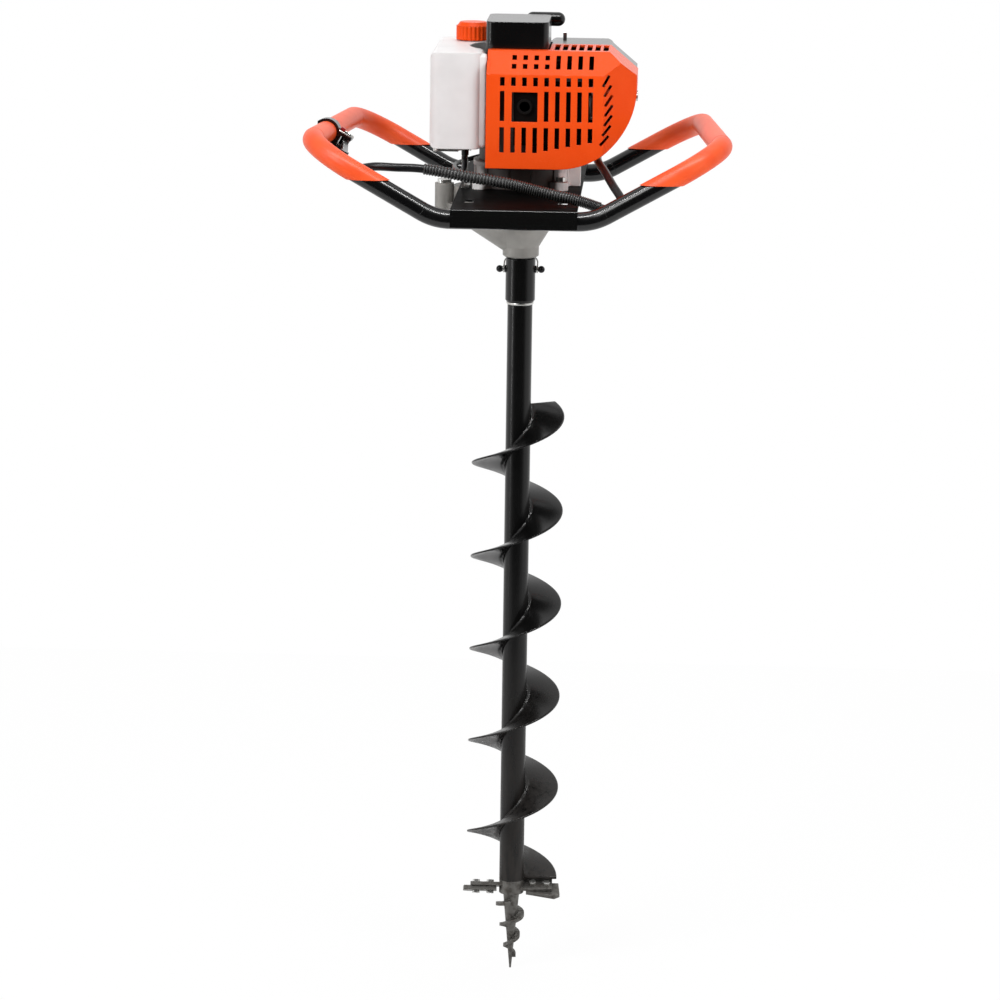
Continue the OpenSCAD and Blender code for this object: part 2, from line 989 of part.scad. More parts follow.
// Body of the cowl: side outline, slanted shoulder and bevelled front corner
module cowl_body(inset) {
    difference() {
        along_y(inset - cowl_depth, split_y + inset)
            side_outline(inset);
        translate([-100, -cowl_depth, engine_z + 101])
            rotate([34, 0, 0])
                translate([0, -60, -inset])
                    cube([300, 160, 60]);
        translate([88, -cowl_depth, 0])
            rotate([0, 0, 45])
                translate([-50, -60 + inset, engine_z - 50])
                    cube([160, 60, 300]);
    }
}

// One upright slot through the front of the cowl
module front_slot(x, low, high) {
    translate([x - slot_w / 2, -cowl_depth - 1, engine_z + low])
        cube([slot_w, 40, high - low]);
}

// Orange slotted cowl over the muffler side of the engine
module engine_cowl() {
    color("orangered")
        difference() {
            union() {
                difference() {
                    cowl_body(0);
                    cowl_body(shell_t);
                    translate([cowl_left - 1, 6.5 - cowl_depth, engine_z + 7.5])
                        cube([shell_t + 2, 150, 106]);
                }
                intersection() {
                    for (y = cowl_boss_y)
                        translate([head_x, y, cowl_boss_z])
                            rod_x(cowl_right - head_x, 5);
                    cowl_body(1);
                }
            }
            translate([0, 0, cowl_low - 5])
                cylinder(h = 40, r = crankcase_r + 1);
            translate([cowl_left - 10, -51.5, cowl_top - 10])
                cube([29.5 - cowl_left + 10, 80, 20]);
            for (i = [0:slot_count - 1]) {
                x = slot_left + i * slot_pitch;
                front_slot(x, 89, 98);
                if (i == 0 || i > 3)
                    front_slot(x, 52, 83.5);
                front_slot(x, 19 + max(0, i - 3) * 2.3, 45.5);
                if (i > 0 && i < 5) {
                    front_slot(x, 106, 110.5);
                    front_slot(x, 114, 118.5);
                }
                if (i > 4)
                    front_slot(x, 106, 118.5);
            }
            translate([-8, -cowl_depth - 1, engine_z + 51.5])
                cube([27, 10, 31]);
            for (k = [0:6])
                translate([34 + k * 8.6, -55, cowl_top - 10])
                    cube([5.6, 56, 20]);
            for (k = [0:6])
                translate([93.3 - 0.4 * pow(k - 3.2, 2), -cowl_depth - 1, engine_z + 33 + 10.4 * k])
                    rotate([0, -49 - 2 * k, 0])
                        translate([-6.5, 0, -1.4])
                            cube([13, 40, 2.8]);
            for (y = cowl_boss_y) {
                translate([80, y, cowl_boss_z])
                    rod_x(60, 2.2);
                translate([screw_seat_x, y, cowl_boss_z])
                    rod_x(10, 5);
            }
        }
}

// Black rear half of the engine cover
module rear_shroud() {
    color("black")
        difference() {
            along_y(split_y + 0.4, shroud_back)
                side_outline(1.5);
            along_y(split_y - 1, shroud_back - shell_t)
                side_outline(1.5 + shell_t);
            translate([cowl_left - 1, split_y - 1, cowl_low + 9])
                cube([10, shroud_back - split_y - 6, 106]);
            translate([cowl_left - 10, 0, cowl_top - 10])
                cube([29.5 - cowl_left + 10, 43.5, 20]);
            translate([0, 0, cowl_low - 5])
                cylinder(h = 40, r = crankcase_r + 1);
            translate([port_x - 15.3, shroud_back - 5, crank_z - 11.3])
                cube([30.6, 10, 22.6]);
            for (k = [0:4])
                translate([-22 + k * 11, shroud_back - 5, engine_z + 25])
                    cube([slot_w, 10, 60]);
        }
}

// Two screws through the end of the cowl into its bosses
module cowl_screws() {
    color("dimgray")
        for (y = cowl_boss_y)
            translate([79, y, cowl_boss_z]) {
                rod_x(screw_seat_x - 79, 2.1);
                translate([screw_seat_x - 79, 0, 0])
                    rod_x(2.2, 4.5);
            }
}

// Recoil starter housing: posts, flange over the fan and the high reel box
module starter_housing() {
    color("black")
        difference() {
            union() {
                translate([0, 0, starter_z])
                    cylinder(h = 4, r = 54);
                for (x = [-post_x, post_x], y = [-post_y, post_y])
                    translate([x, y, case_top_z])
                        cylinder(h = starter_z - case_top_z, r = 4.5);
                translate([-38, -50, starter_z])
                    linear_extrude(45)
                        rounded(66, 92, 9);
            }
            translate([-35.5, -47.5, starter_z + 4])
                linear_extrude(38.5)
                    rounded(61, 87, 6.5);
            translate([0, 0, starter_z - 1])
                cylinder(h = 10, r = 24);
            translate([rope_x, 38, rope_z])
                rod_y(6, 3);
        }
    color("black")
        translate([0, 0, starter_z + 2])
            cylinder(h = 40.5, r = 5);
}

// Outline of the tank seen from above, moved inwards by an inset
module tank_plan(inset) {
    difference() {
        translate([tank_left + inset, -tank_depth / 2 + inset])
            rounded(tank_right - tank_left - 2 * inset, tank_depth - 2 * inset, 12 - inset);
        circle(r = tank_recess + inset);
    }
}

// Body of the tank, moved inwards by an inset
module tank_body(inset) {
    intersection() {
        translate([0, 0, tank_low + inset])
            linear_extrude(tank_top - tank_low - 2 * inset)
                tank_plan(inset);
        translate([tank_left + inset, 0, tank_low + inset])
            along_y(-tank_depth, tank_depth)
                rounded(
                    tank_right - tank_left - 2 * inset, tank_top - tank_low - 2 * inset,
                    tank_edge_r - inset, $fn = 12);
    }
}

// Moulded fuel tank, hollow, with a threaded neck
module fuel_tank() {
    color("white")
        difference() {
            union() {
                tank_body(0);
                translate([neck_x, neck_y, tank_top - 4])
                    cylinder(h = 13, r = 13.5);
            }
            tank_body(tank_wall);
            translate([neck_x, neck_y, tank_top - 10])
                cylinder(h = 30, r = 11);
            translate([-58, -62, tank_low - 1])
                cylinder(h = 6, r = 4);
        }
}

// Bent sheet bracket that carries the tank on the plate
module tank_bracket() {
    color("black") {
        translate([-92, -66, tank_low - 5])
            linear_extrude(3)
                difference() {
                    rounded(40, 132, 6);
                    translate([92, 66])
                        circle(r = tank_recess);
                    translate([34, 4])
                        circle(r = 8);
                }
        for (side = [-1, 1]) {
            translate([-63, side * 30 - 8, deck_z])
                cube([3, 16, tank_low - 5 - deck_z]);
            translate([-63, side * 30 - 8, deck_z])
                cube([9, 16, 3]);
        }
    }
}

// Rubber pads between the tank and its bracket
module tank_pads() {
    color("black")
        for (y = [-50, 50], x = [-84, -66])
            translate([x, y, tank_low - 2])
                cylinder(h = 2, r = 6);
}

// Fuel hose from the tank to the carburettor
module fuel_hose() {
    color("black") {
        cord(curve([
            [-58, -62, tank_low - 7],
            [-58, -62, tank_low - 15],
            [-59, -57, tank_low - 24],
            [-63, -44, tank_low - 29],
            [-71, -12, tank_low - 30],
            [-72, 28, tank_low - 30],
            [-58, 58, tank_low - 28],
            [-20, 75, tank_low - 18],
            [18, 79, tank_low + 4],
            [36, 79, crank_z - 3],
            [48, 79, crank_z - 2]
        ], 0, 10, 4), 2.5, 8);
        translate([-58, -62, tank_low - 9])
            cylinder(h = 14, r = 3.9);
    }
}

// Sheathed throttle cable from the lever to the carburettor
module throttle_cable() {
    color("black")
        cord(curve(cable_route, 0, len(cable_route) - 1, 5), cable_r, 8);
}

// Ribbed conduit over the middle of the cable
module cable_conduit() {
    color("black")
        ribbed_hose(
            curve(cable_route, conduit_from, conduit_to, 2 * ribs_per_span), 6, 5.3, 4.8, 8);
}

// Frame of the left loop end: X inwards and down the slope, Y along the loop end
module at_left_end() {
    translate([-loop_x, 0, loop_z])
        rotate([0, arm_slope, 0])
            translate([control_y * tan(loop_lean) - end_length, control_y, 0])
                rotate([0, 0, -loop_lean])
                    children();
}

// Clip, open on its outer side, fork and cable stop of the throttle control on the left grip
module throttle_bracket() {
    color("black")
        at_left_end()
            difference() {
                union() {
                    rotate([90, 0, 0])
                        translate([0, 0, -8])
                            linear_extrude(16)
                                ring(control_r, control_seat);
                    difference() {
                        translate([control_seat - 2, -8, -8])
                            cube([18, 16, 16]);
                        translate([0, -9, 0])
                            rod_y(18, control_seat);
                    }
                    translate([control_seat + 4, -8, -14])
                        cube([10, 5, 7]);
                }
                rotate([0, -arm_slope, 0])
                    translate([-clip_reach - 20, -9, -20])
                        cube([20, 18, 40]);
                translate([control_seat + 4.5, -9, -4.5])
                    cube([30, 18, 9]);
                translate([control_seat + 10, 0, -9])
                    cylinder(h = 18, r = 2 + running_gap);
                translate([control_seat + 2, 4.5, 4.5])
                    cylinder(h = 12, r = 2.8);
            }
}

// Squeeze lever of the throttle with its pin
module throttle_lever() {
    color("black")
        at_left_end()
            translate([control_seat + 10, 0, 0]) {
                translate([0, 0, -9.5])
                    cylinder(h = 19, r = 2);
                rotate([0, 0, 9])
                    translate([0, 0, -4])
                        linear_extrude(8) {
                            circle(r = 5);
                            translate([-3, -lever_length])
                                square([6, lever_length]);
                            translate([0, -lever_length])
                                circle(r = 4.5);
                        }
            }
}

// Stop button on top of the throttle bracket
module stop_button() {
    color("red")
        at_left_end()
            translate([control_seat + 2, 4.5, 7.6])
                cylinder(h = 4.4, r = 2.5);
}

// Choke lever on the filter base
module choke_lever() {
    color("silver")
        translate([filter_left + 17, filter_y, filter_high - 25]) {
            translate([0, -3.5, 0])
                rod_y(6.2, 2);
            translate([0, -2.6, 0])
                rod_y(2, 5);
            translate([-2, -2.6, 0])
                cube([4, 2, 34]);
        }
}

// Rubber bulb that primes the carburettor
module primer_bulb() {
    color("dimgray")
        translate([port_x, carb_y + 13, crank_z - 24]) {
            cylinder(h = 5.5, r = 9);
            difference() {
                sphere(r = 9);
                translate([-10, -10, 0])
                    cube(20);
            }
        }
}

// Ribbed fuel cap
module fuel_cap() {
    color("orangered")
        translate([neck_x, neck_y, tank_top + 1])
            difference() {
                union() {
                    linear_extrude(15)
                        difference() {
                            circle(d = cap_d);
                            for (a = [0:15:345])
                                rotate([0, 0, a])
                                    translate([cap_d / 2 + 0.9, 0])
                                        circle(r = 1.7);
                        }
                    translate([0, 0, 15])
                        cylinder(h = 4, r1 = cap_d / 2 - 0.9, r2 = cap_d / 2 - 4);
                }
                translate([0, 0, -1])
                    cylinder(h = 10, r = 14);
            }
}

// Starter grip with the straight end of its rope
module pull_handle() {
    color("black") {
        translate([rope_x - 21, 54, rope_z + 5.5]) {
            translate([7.5, 0, 0])
                rod_x(27, 7.5);
            for (x = [7.5, 34.5])
                translate([x, 0, 0])
                    sphere(r = 7.5);
        }
        translate([rope_x, 44, rope_z])
            rod_y(10, 5);
        translate([rope_x, -44, rope_z])
            rod_y(90, rope_r);
    }
}

// Rope reel of the starter on its post
module starter_reel() {
    color("gainsboro")
        translate([0, 0, reel_z])
            difference() {
                union() {
                    cylinder(h = 11, r = 18);
                    cylinder(h = 2.5, r = 24.8);
                    translate([0, 0, 8.5])
                        cylinder(h = 2.5, r = 24.8);
                    translate([0, 0, -28])
                        cylinder(h = 28, r = 12);
                }
                translate([0, 0, -29])
                    cylinder(h = 50, r = 5 + running_gap);
                translate([0, 0, 6])
                    linear_extrude(10)
                        ring(16, 8);
            }
}

// Crankshaft with two webs and the crank pin
module crankshaft() {
    color("silver")
        translate([0, 0, crank_z]) {
            translate([0, 0, -57])
                cylinder(h = 42, r = crank_r);
            translate([0, 0, 6])
                cylinder(h = 58, r = crank_r);
            for (z = [-15, 6])
                translate([0, 0, z])
                    linear_extrude(9)
                        difference() {
                            circle(r = web_r);
                            for (side = [-1, 1])
                                translate([16, side * 24])
                                    circle(r = 13);
                        }
            translate([16, 0, -6])
                cylinder(h = 12, r = 8);
        }
}

// Flywheel with fan blades and the starter cup
module flywheel() {
    color("silver")
        translate([0, 0, flywheel_z])
            difference() {
                union() {
                    cylinder(h = 5, r = flywheel_r);
                    cylinder(h = 16, r = 12);
                    for (a = [0:20:340])
                        rotate([0, 0, a])
                            translate([27, -1, 4])
                                cube([flywheel_r - 27.5, 2, 12]);
                    translate([0, 0, 4])
                        linear_extrude(26)
                            ring(19, 16.5);
                }
                translate([0, 0, -1])
                    cylinder(h = 30, r = crank_r);
                for (a = [0, 120, 240])
                    rotate([0, 0, a])
                        translate([14, -4, 22])
                            cube([10, 8, 10]);
            }
}

// Two centrifugal shoes on the lower end of the crankshaft
module clutch_shoes() {
    color("dimgray")
        translate([0, 0, drum_z + 5])
            linear_extrude(11)
                difference() {
                    circle(r = drum_r - 4.5);
                    circle(r = crank_r);
                    translate([-drum_r, -1.5])
                        square([2 * drum_r, 3]);
                    for (side = [-1, 1])
                        translate([0, side * 21])
                            circle(r = 5);
                }
}

// Clutch drum with the input pinion on its shaft
module clutch_drum() {
    color("silver") {
        translate([0, 0, drum_z])
            difference() {
                cylinder(h = 17, r = drum_r);
                translate([0, 0, 3])
                    cylinder(h = 20, r = drum_r - 2.5);
            }
        translate([0, 0, split_z + 11])
            cylinder(h = drum_z - split_z - 11, r = drum_shaft_r);
        translate([0, 0, split_z + 1.5])
            linear_extrude(9.5)
                rotate([0, 0, 180])
                    gear_outline(input_teeth, input_module);
    }
}

// Layshaft with its large gear and its pinion
module layshaft() {
    color("silver")
        translate([-gear_spacing, 0, 0]) {
            translate([0, 0, case_z + 33.5])
                cylinder(h = split_z + 15 - case_z - 33, r = layshaft_r);
            translate([0, 0, case_z + 40])
                linear_extrude(idler_gear_z - case_z - 40)
                    gear_outline(pinion_teeth, output_module);
            translate([0, 0, idler_gear_z])
                linear_extrude(idler_gear_t)
                    rotate([0, 0, 180 / idler_teeth])
                        gear_outline(idler_teeth, input_module);
        }
}

// Output shaft with its gear and the cross hole of the bit pin
module output_shaft() {
    color("silver")
        difference() {
            union() {
                translate([0, 0, bit_length - 40])
                    cylinder(h = output_gear_z - bit_length + 50, r = shaft_r);
                translate([0, 0, output_gear_z])
                    linear_extrude(output_gear_t)
                        rotate([0, 0, 180 + 180 / output_teeth])
                            gear_outline(output_teeth, output_module);
            }
            translate([-20, 0, pin_z])
                rod_x(40, pin_r + running_gap);
        }
}

// Helical strip from one radius to another, standing on its lower end
module helix(inner, outer_low, outer_high, pitch, turns, thick, steps) {
    count = round(turns * steps);
    points = [
        for (i = [0:count])
            let (a = i * 360 / steps, z = i * pitch / steps)
            let (outer = outer_low + (outer_high - outer_low) * i / count)
                each [
                    [inner * cos(a), inner * sin(a), z],
                    [outer * cos(a), outer * sin(a), z],
                    [outer * cos(a), outer * sin(a), z + thick],
                    [inner * cos(a), inner * sin(a), z + thick]
                ]
    ];
    polyhedron(points, concat(
        wall_faces(count + 1, 4, 0, true),
        [[3, 2, 1, 0]],
        [[for (k = [0:3]) 4 * count + k]]
    ));
}

// Socket of the bit over the output shaft
module bit_socket() {
    low = bit_length - socket_length;
    bore = shaft_r + running_gap;
    color("black")
        difference() {
            rotate_extrude()
                polygon([
                    [bore, low + 8],
                    [bore, bit_length],
                    [socket_r - 1, bit_length],
                    [socket_r, bit_length - 1],
                    [socket_r, low + 3],
                    [socket_r - 2, low],
                    [stem_r, low],
                    [stem_r, low + 8]
                ]);
            translate([-20, 0, pin_z])
                rod_x(40, pin_r + running_gap);
        }
}

// Tube of the bit, welded into the socket
module bit_tube() {
    color("black")
        translate([0, 0, flight_start_z])
            linear_extrude(bit_length - socket_length + 8 - flight_start_z)
                ring(stem_r, stem_r - stem_wall);
}

// Right-hand flight welded round the tube
module bit_flight() {
    inner = stem_r / cos(180 / flight_steps) + 0.02;
    color("black")
        translate([0, 0, flight_start_z])
            helix(inner, flight_d / 2, flight_d / 2, flight_pitch, flight_turns, flight_t,
                flight_steps);
}

// Tilted frame of the two cutting blades, X outwards
module blade_places() {
    for (turn = [0, 180])
        rotate([0, 0, turn])
            translate([0, 0, cutter_z + 8])
                rotate([blade_tilt, 0, 0])
                    children();
}

// Hub with two wings and the screw point
module cutter_head() {
    color("dimgray") {
        difference() {
            union() {
                translate([0, 0, cutter_z])
                    cylinder(h = flight_start_z - cutter_z, r = stem_r);
                translate([0, 0, flight_start_z])
                    cylinder(h = 8, r = stem_r - stem_wall);
                blade_places()
                    translate([stem_r - 5, -8, -2])
                        cube([flight_d / 2 - stem_r, 18, 4]);
            }
            blade_bolt_places()
                translate([0, 0, -3])
                    cylinder(h = 6, r = 2.5);
        }
        cylinder(h = cutter_z, r1 = 1, r2 = 9);
        translate([0, 0, 12])
            helix(1.5, 6, 18, 24, 2.75, 4, 20);
    }
}

// Places of the bolts through wing and blade
module blade_bolt_places() {
    blade_places()
        for (x = [stem_r + 10, flight_d / 2 - 11])
            translate([x, 0, 0])
                children();
}

// Two cutting blades under the wings
module cutter_blades() {
    color("gray")
        difference() {
            blade_places()
                translate([0, 0, -7])
                    linear_extrude(5)
                        polygon([
                            [stem_r + 3, -8],
                            [flight_d / 2 - 2, -15],
                            [flight_d / 2 + 4, -11],
                            [flight_d / 2 + 2, 7],
                            [stem_r + 3, 7]
                        ]);
            blade_bolt_places()
                translate([0, 0, -8])
                    cylinder(h = 8, r = 2.5);
        }
}

// Bolts of the cutting blades
module blade_bolts() {
    color("gainsboro")
        blade_bolt_places() {
            translate([0, 0, -10])
                cylinder(h = 12, r = 2.5);
            translate([0, 0, 2])
                cylinder(h = 3, r = 4, $fn = 6);
            translate([0, 0, -10])
                cylinder(h = 3, r = 4, $fn = 6);
        }
}

// Cross pin of the bit with a necked end for the bail on both sides
module cross_pin() {
    neck = socket_r + 0.8;
    color("gainsboro")
        translate([0, 0, pin_z]) {
            translate([-neck, 0, 0])
                rod_x(2 * neck, pin_r);
            translate([-neck - 3, 0, 0])
                rod_x(2 * neck + 6, pin_r - 1.5);
            for (side = [-1, 1])
                translate([side * (neck + 5.6), 0, 0])
                    sphere(r = 3.8);
        }
}

// Wire bail on the ends of the cross pin
module pin_bail() {
    arm = socket_r + 2;
    color("gainsboro")
        translate([0, 0, pin_z])
            rotate([-25, 0, 180]) {
                for (side = [-1, 1]) {
                    translate([side * arm - 0.9, 0, 0])
                        tube_x(1.8, pin_r, pin_r - 1.5 + running_gap);
                    translate([side * arm, -12, 0])
                        rod_y(8.6, 0.9);
                }
                translate([0, -12, 0])
                    rotate([0, 0, 180])
                        rotate_extrude(angle = 180)
                            translate([arm, 0])
                                circle(r = 0.9);
            }
}

front_rail();
rear_rail();
left_loop();
right_loop();
left_grip();
right_grip();
base_plate();
gear_case();
gear_cover();
case_screws();
oil_plug();
shaft_seal();
ball_bearings();
clutch_housing();
frame_bolts();
lower_crankcase();
upper_crankcase();
engine_cylinder();
spark_plug();
plug_lead();
ignition_coil();
muffler();
intake_block();
carburettor();
filter_base();
filter_element();
filter_cover();
cover_knob();
engine_cowl();
rear_shroud();
cowl_screws();
starter_housing();
fuel_tank();
tank_bracket();
tank_pads();
fuel_hose();
throttle_cable();
cable_conduit();
throttle_bracket();
throttle_lever();
stop_button();
choke_lever();
primer_bulb();
fuel_cap();
pull_handle();
starter_reel();
crankshaft();
flywheel();
clutch_shoes();
clutch_drum();
layshaft();
output_shaft();
bit_socket();
bit_tube();
bit_flight();
cutter_head();
cutter_blades();
blade_bolts();
cross_pin();
pin_bail();
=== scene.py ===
"""Looks of a two-stroke earth auger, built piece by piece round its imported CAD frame.

Metres, in the frame of the CAD part: origin at the tip of the bit, +Z up along the bit,
+X to the right hand loop, -Y to the side with the slotted cowl.
"""

import math

import bpy
import numpy as np
from mathutils import Matrix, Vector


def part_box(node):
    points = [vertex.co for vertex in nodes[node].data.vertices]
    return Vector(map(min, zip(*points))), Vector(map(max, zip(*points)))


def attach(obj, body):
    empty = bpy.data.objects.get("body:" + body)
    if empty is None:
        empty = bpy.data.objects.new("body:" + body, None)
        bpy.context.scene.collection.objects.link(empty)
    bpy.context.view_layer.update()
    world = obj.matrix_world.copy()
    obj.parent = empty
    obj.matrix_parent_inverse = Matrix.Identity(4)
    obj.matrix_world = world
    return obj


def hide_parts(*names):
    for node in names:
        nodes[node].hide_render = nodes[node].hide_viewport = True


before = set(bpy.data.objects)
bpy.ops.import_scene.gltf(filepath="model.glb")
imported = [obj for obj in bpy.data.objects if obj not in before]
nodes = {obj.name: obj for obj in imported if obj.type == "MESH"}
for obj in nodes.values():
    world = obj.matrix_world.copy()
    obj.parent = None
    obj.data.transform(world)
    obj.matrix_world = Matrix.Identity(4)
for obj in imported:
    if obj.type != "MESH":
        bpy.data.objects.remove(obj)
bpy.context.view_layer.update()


# Camera: it stands in front of the slotted cowl, a little to the right and above it, and takes in
# the whole auger through a long lens.
eye = np.array([0.17769, -4.49572, 1.48961])
turn, dip, roll = np.radians([2.5, 12.01, 0.81])
ahead = np.array(
    [-math.sin(turn) * math.cos(dip), math.cos(turn) * math.cos(dip), -math.sin(dip)]
)
level = np.array([math.cos(turn), math.sin(turn), 0.0])
above = np.cross(level, ahead)
right = level * math.cos(roll) + above * math.sin(roll)
up = above * math.cos(roll) - level * math.sin(roll)

camera_data = bpy.data.cameras.new("camera")
camera_data.sensor_width = 36
camera_data.lens = 152.06
camera = bpy.data.objects.new("camera", camera_data)
pose = np.eye(4)
pose[:3, 0], pose[:3, 1], pose[:3, 2], pose[:3, 3] = right, up, -ahead, eye
camera.matrix_world = Matrix(pose.tolist())
bpy.context.scene.collection.objects.link(camera)
bpy.context.scene.camera = camera


# Throttle cable: a steel wire in a smooth black sheath. It leaves the lever on the left loop, hangs
# across the front of the plate and climbs behind the cowl to the carburettor.
rail_z = 0.867
cable_d = 0.0088
lever_end_x, lever_end_z = 0.1935, 0.9195
cable_route = np.array(
    [
        [-lever_end_x, -0.0546, lever_end_z],
        [-lever_end_x + 0.0001, -0.0661, lever_end_z - 0.0001],
        [-lever_end_x + 0.0055, -0.104, lever_end_z - 0.0035],
        [-lever_end_x + 0.0155, -0.133, lever_end_z - 0.0085],
        [-lever_end_x + 0.0295, -0.156, lever_end_z - 0.0065],
        [-lever_end_x * 0.75, -0.168, lever_end_z - 0.0025],
        [-lever_end_x * 0.64, -0.172, rail_z + 0.050],
        [-lever_end_x * 0.49, -0.172, rail_z + 0.049],
        [-lever_end_x * 0.26, -0.172, rail_z + 0.042],
        [-0.005, -0.172, rail_z + 0.035],
        [0.029, -0.172, rail_z + 0.027],
        [0.066, -0.172, rail_z + 0.019],
        [0.088, -0.171, rail_z + 0.012],
        [0.101, -0.167, rail_z + 0.009],
        [0.109, -0.157, rail_z + 0.011],
        [0.109, -0.144, rail_z + 0.018],
        [0.100, -0.125, rail_z + 0.029],
        [0.091, -0.096, rail_z + 0.039],
        [0.083, -0.060, rail_z + 0.045],
        [0.081, -0.020, rail_z + 0.046],
        [0.081, 0.052, rail_z + 0.046],
        [0.081, 0.072, rail_z + 0.052],
        [0.081, 0.079, rail_z + 0.064],
        [0.081, 0.079, rail_z + 0.073],
    ]
)


def smooth_curve(route, per):
    """Curve through all points of a route: on each span a cubic in t that leaves along the chord of
    the points on either side, with per steps to a span."""
    ends = np.vstack([route[:1], route, route[-1:]])
    a, b, c, d = (ends[i : len(ends) - 3 + i, None] for i in range(4))
    t = (np.arange(per) / per)[None, :, None]
    spans = (
        2 * b
        + (c - a) * t
        + (2 * a - 5 * b + 4 * c - d) * t**2
        + (3 * b - a - 3 * c + d) * t**3
    ) / 2
    return np.vstack([spans.reshape(-1, 3), route[-1:]])


def unit(vectors):
    """Each vector over its own length."""
    return vectors / np.linalg.norm(vectors, axis=-1, keepdims=True)


def tube_grid(path, radius, sides=20):
    """Rings round a path: ring i is the circle of radius i in the plane across the path's heading,
    counted from the level side of the path downwards."""
    heading = unit(np.gradient(path, axis=0))
    side = unit(np.cross(heading, [0.0, 0.0, 1.0]))
    top = np.cross(side, heading)
    angle = np.linspace(0, 2 * np.pi, sides, endpoint=False)[:, None]
    spoke = side[:, None] * np.cos(angle) - top[:, None] * np.sin(angle)
    return path[:, None] + np.reshape(radius, (-1, 1, 1)) * spoke


def piece_from_grid(name, grid, round_way=True, capped=True, smooth=True):
    """Mesh over a grid of points, rows by columns: four neighbours make a face, the columns close
    round where round_way, and the first and last rows get a cap each where capped."""
    rows, columns = grid.shape[:2]
    index = np.arange(rows * columns).reshape(rows, columns)
    following = np.roll(index, -1, axis=1) if round_way else index[:, 1:]
    here = index if round_way else index[:, :-1]
    quads = np.stack(
        [here[:-1], following[:-1], following[1:], here[1:]], axis=-1
    ).reshape(-1, 4)
    faces = quads.tolist()
    if capped:
        faces += [index[0, ::-1].tolist(), index[-1].tolist()]
    mesh = bpy.data.meshes.new(name)
    mesh.from_pydata(grid.reshape(-1, 3).tolist(), [], faces)
    mesh.polygons.foreach_set("use_smooth", np.full(len(faces), smooth))
    mesh.update()
    made = bpy.data.objects.new(name, mesh)
    bpy.context.scene.collection.objects.link(made)
    return made


class Wire:
    """One output of a material's nodes. Sums, differences and products of wires add Math nodes."""

    def __init__(self, tree, socket=None):
        self.tree = tree
        self.socket = socket

    def node(self, kind, settings=None, sockets=None, output=0):
        """Adds a node of that kind, sets it up, fills its sockets and gives one output."""
        made = self.tree.nodes.new(kind)
        for name, value in (settings or {}).items():
            setattr(made, name, value)
        for name, value in (sockets or {}).items():
            if isinstance(value, Wire):
                self.tree.links.new(value.socket, made.inputs[name])
            else:
                made.inputs[name].default_value = value
        return Wire(self.tree, made.outputs[output] if made.outputs else None)

    def math(self, operation, first, second):
        """Adds one Math node on two wires or numbers."""
        return self.node("ShaderNodeMath", {"operation": operation}, {0: first, 1: second})

    def __add__(self, other):
        return self.math("ADD", self, other)

    def __radd__(self, other):
        return self.math("ADD", other, self)

    def __sub__(self, other):
        return self.math("SUBTRACT", self, other)

    def __rsub__(self, other):
        return self.math("SUBTRACT", other, self)

    def __mul__(self, other):
        return self.math("MULTIPLY", self, other)

    def __rmul__(self, other):
        return self.math("MULTIPLY", other, self)

    def step(self, low, high):
        """Rises smoothly from 0 where the wire is low to 1 where it is high."""
        return self.node(
            "ShaderNodeMapRange",
            {"interpolation_type": "SMOOTHSTEP"},
            {"Value": self, "From Min": low, "From Max": high},
        )

    def between(self, first, second):
        """The first colour where the wire is 0, the second where it is 1."""
        return self.node(
            "ShaderNodeMix",
            {"data_type": "RGBA"},
            {0: self, 6: first, 7: second},
            output=2,
        )

    def noise(self, size, detail=3.0, stretch=(1, 1, 1)):
        """Cloudy pattern on these coordinates; size is the width of a cloud in metres."""
        scaled = self.node("ShaderNodeMapping", None, {"Vector": self, "Scale": stretch})
        return self.node(
            "ShaderNodeTexNoise",
            None,
            {"Vector": scaled, "Scale": 1 / size, "Detail": detail},
        )

    def edge(self, radius):
        """1 along the outer and inner edges of the piece, 0 on its flat and round faces."""
        eased = self.node("ShaderNodeBevel", {"samples": 6}, {"Radius": radius})
        plain = self.node("ShaderNodeNewGeometry", output="Normal")
        same = self.node(
            "ShaderNodeVectorMath", {"operation": "DOT_PRODUCT"}, {0: eased, 1: plain}, "Value"
        )
        return (1 - same).step(0.02, 0.2)

    def relief(self, height, depth, edge_radius):
        """Normal of a surface with eased edges and that height pattern, depth metres deep."""
        eased = self.node("ShaderNodeBevel", {"samples": 6}, {"Radius": edge_radius})
        return self.node(
            "ShaderNodeBump", None, {"Height": height, "Distance": depth, "Normal": eased}
        )

    def finish(self, **shader):
        """Closes the material with one principled shader; _ in a socket's name is a space."""
        named = {key.replace("_", " "): value for key, value in shader.items()}
        surface = self.node("ShaderNodeBsdfPrincipled", None, named)
        self.node("ShaderNodeOutputMaterial", None, {"Surface": surface})


def new_material(name):
    """An empty material and the Object coordinates that its patterns are drawn on."""
    material = bpy.data.materials.new(name)
    material.use_nodes = True
    material.node_tree.nodes.clear()
    return material, Wire(material.node_tree).node("ShaderNodeTexCoord", output="Object")


def wear(piece, material):
    """Gives a piece that one material."""
    piece.data.materials.clear()
    piece.data.materials.append(material)


def rubber(name, colour, dusty, gloss):
    """Moulded rubber: fine grain, and dust that greys it in soft patches."""
    material, place = new_material(name)
    dust = place.noise(0.03).step(0.45, 0.75)
    grain = place.noise(0.0006, 2.0)
    place.finish(
        Base_Color=dust.between(colour, dusty),
        Roughness=gloss + 0.12 * dust + 0.08 * grain,
        Specular_IOR_Level=0.25,
        Normal=place.relief(grain, 0.00003, 0.0003),
    )
    return material


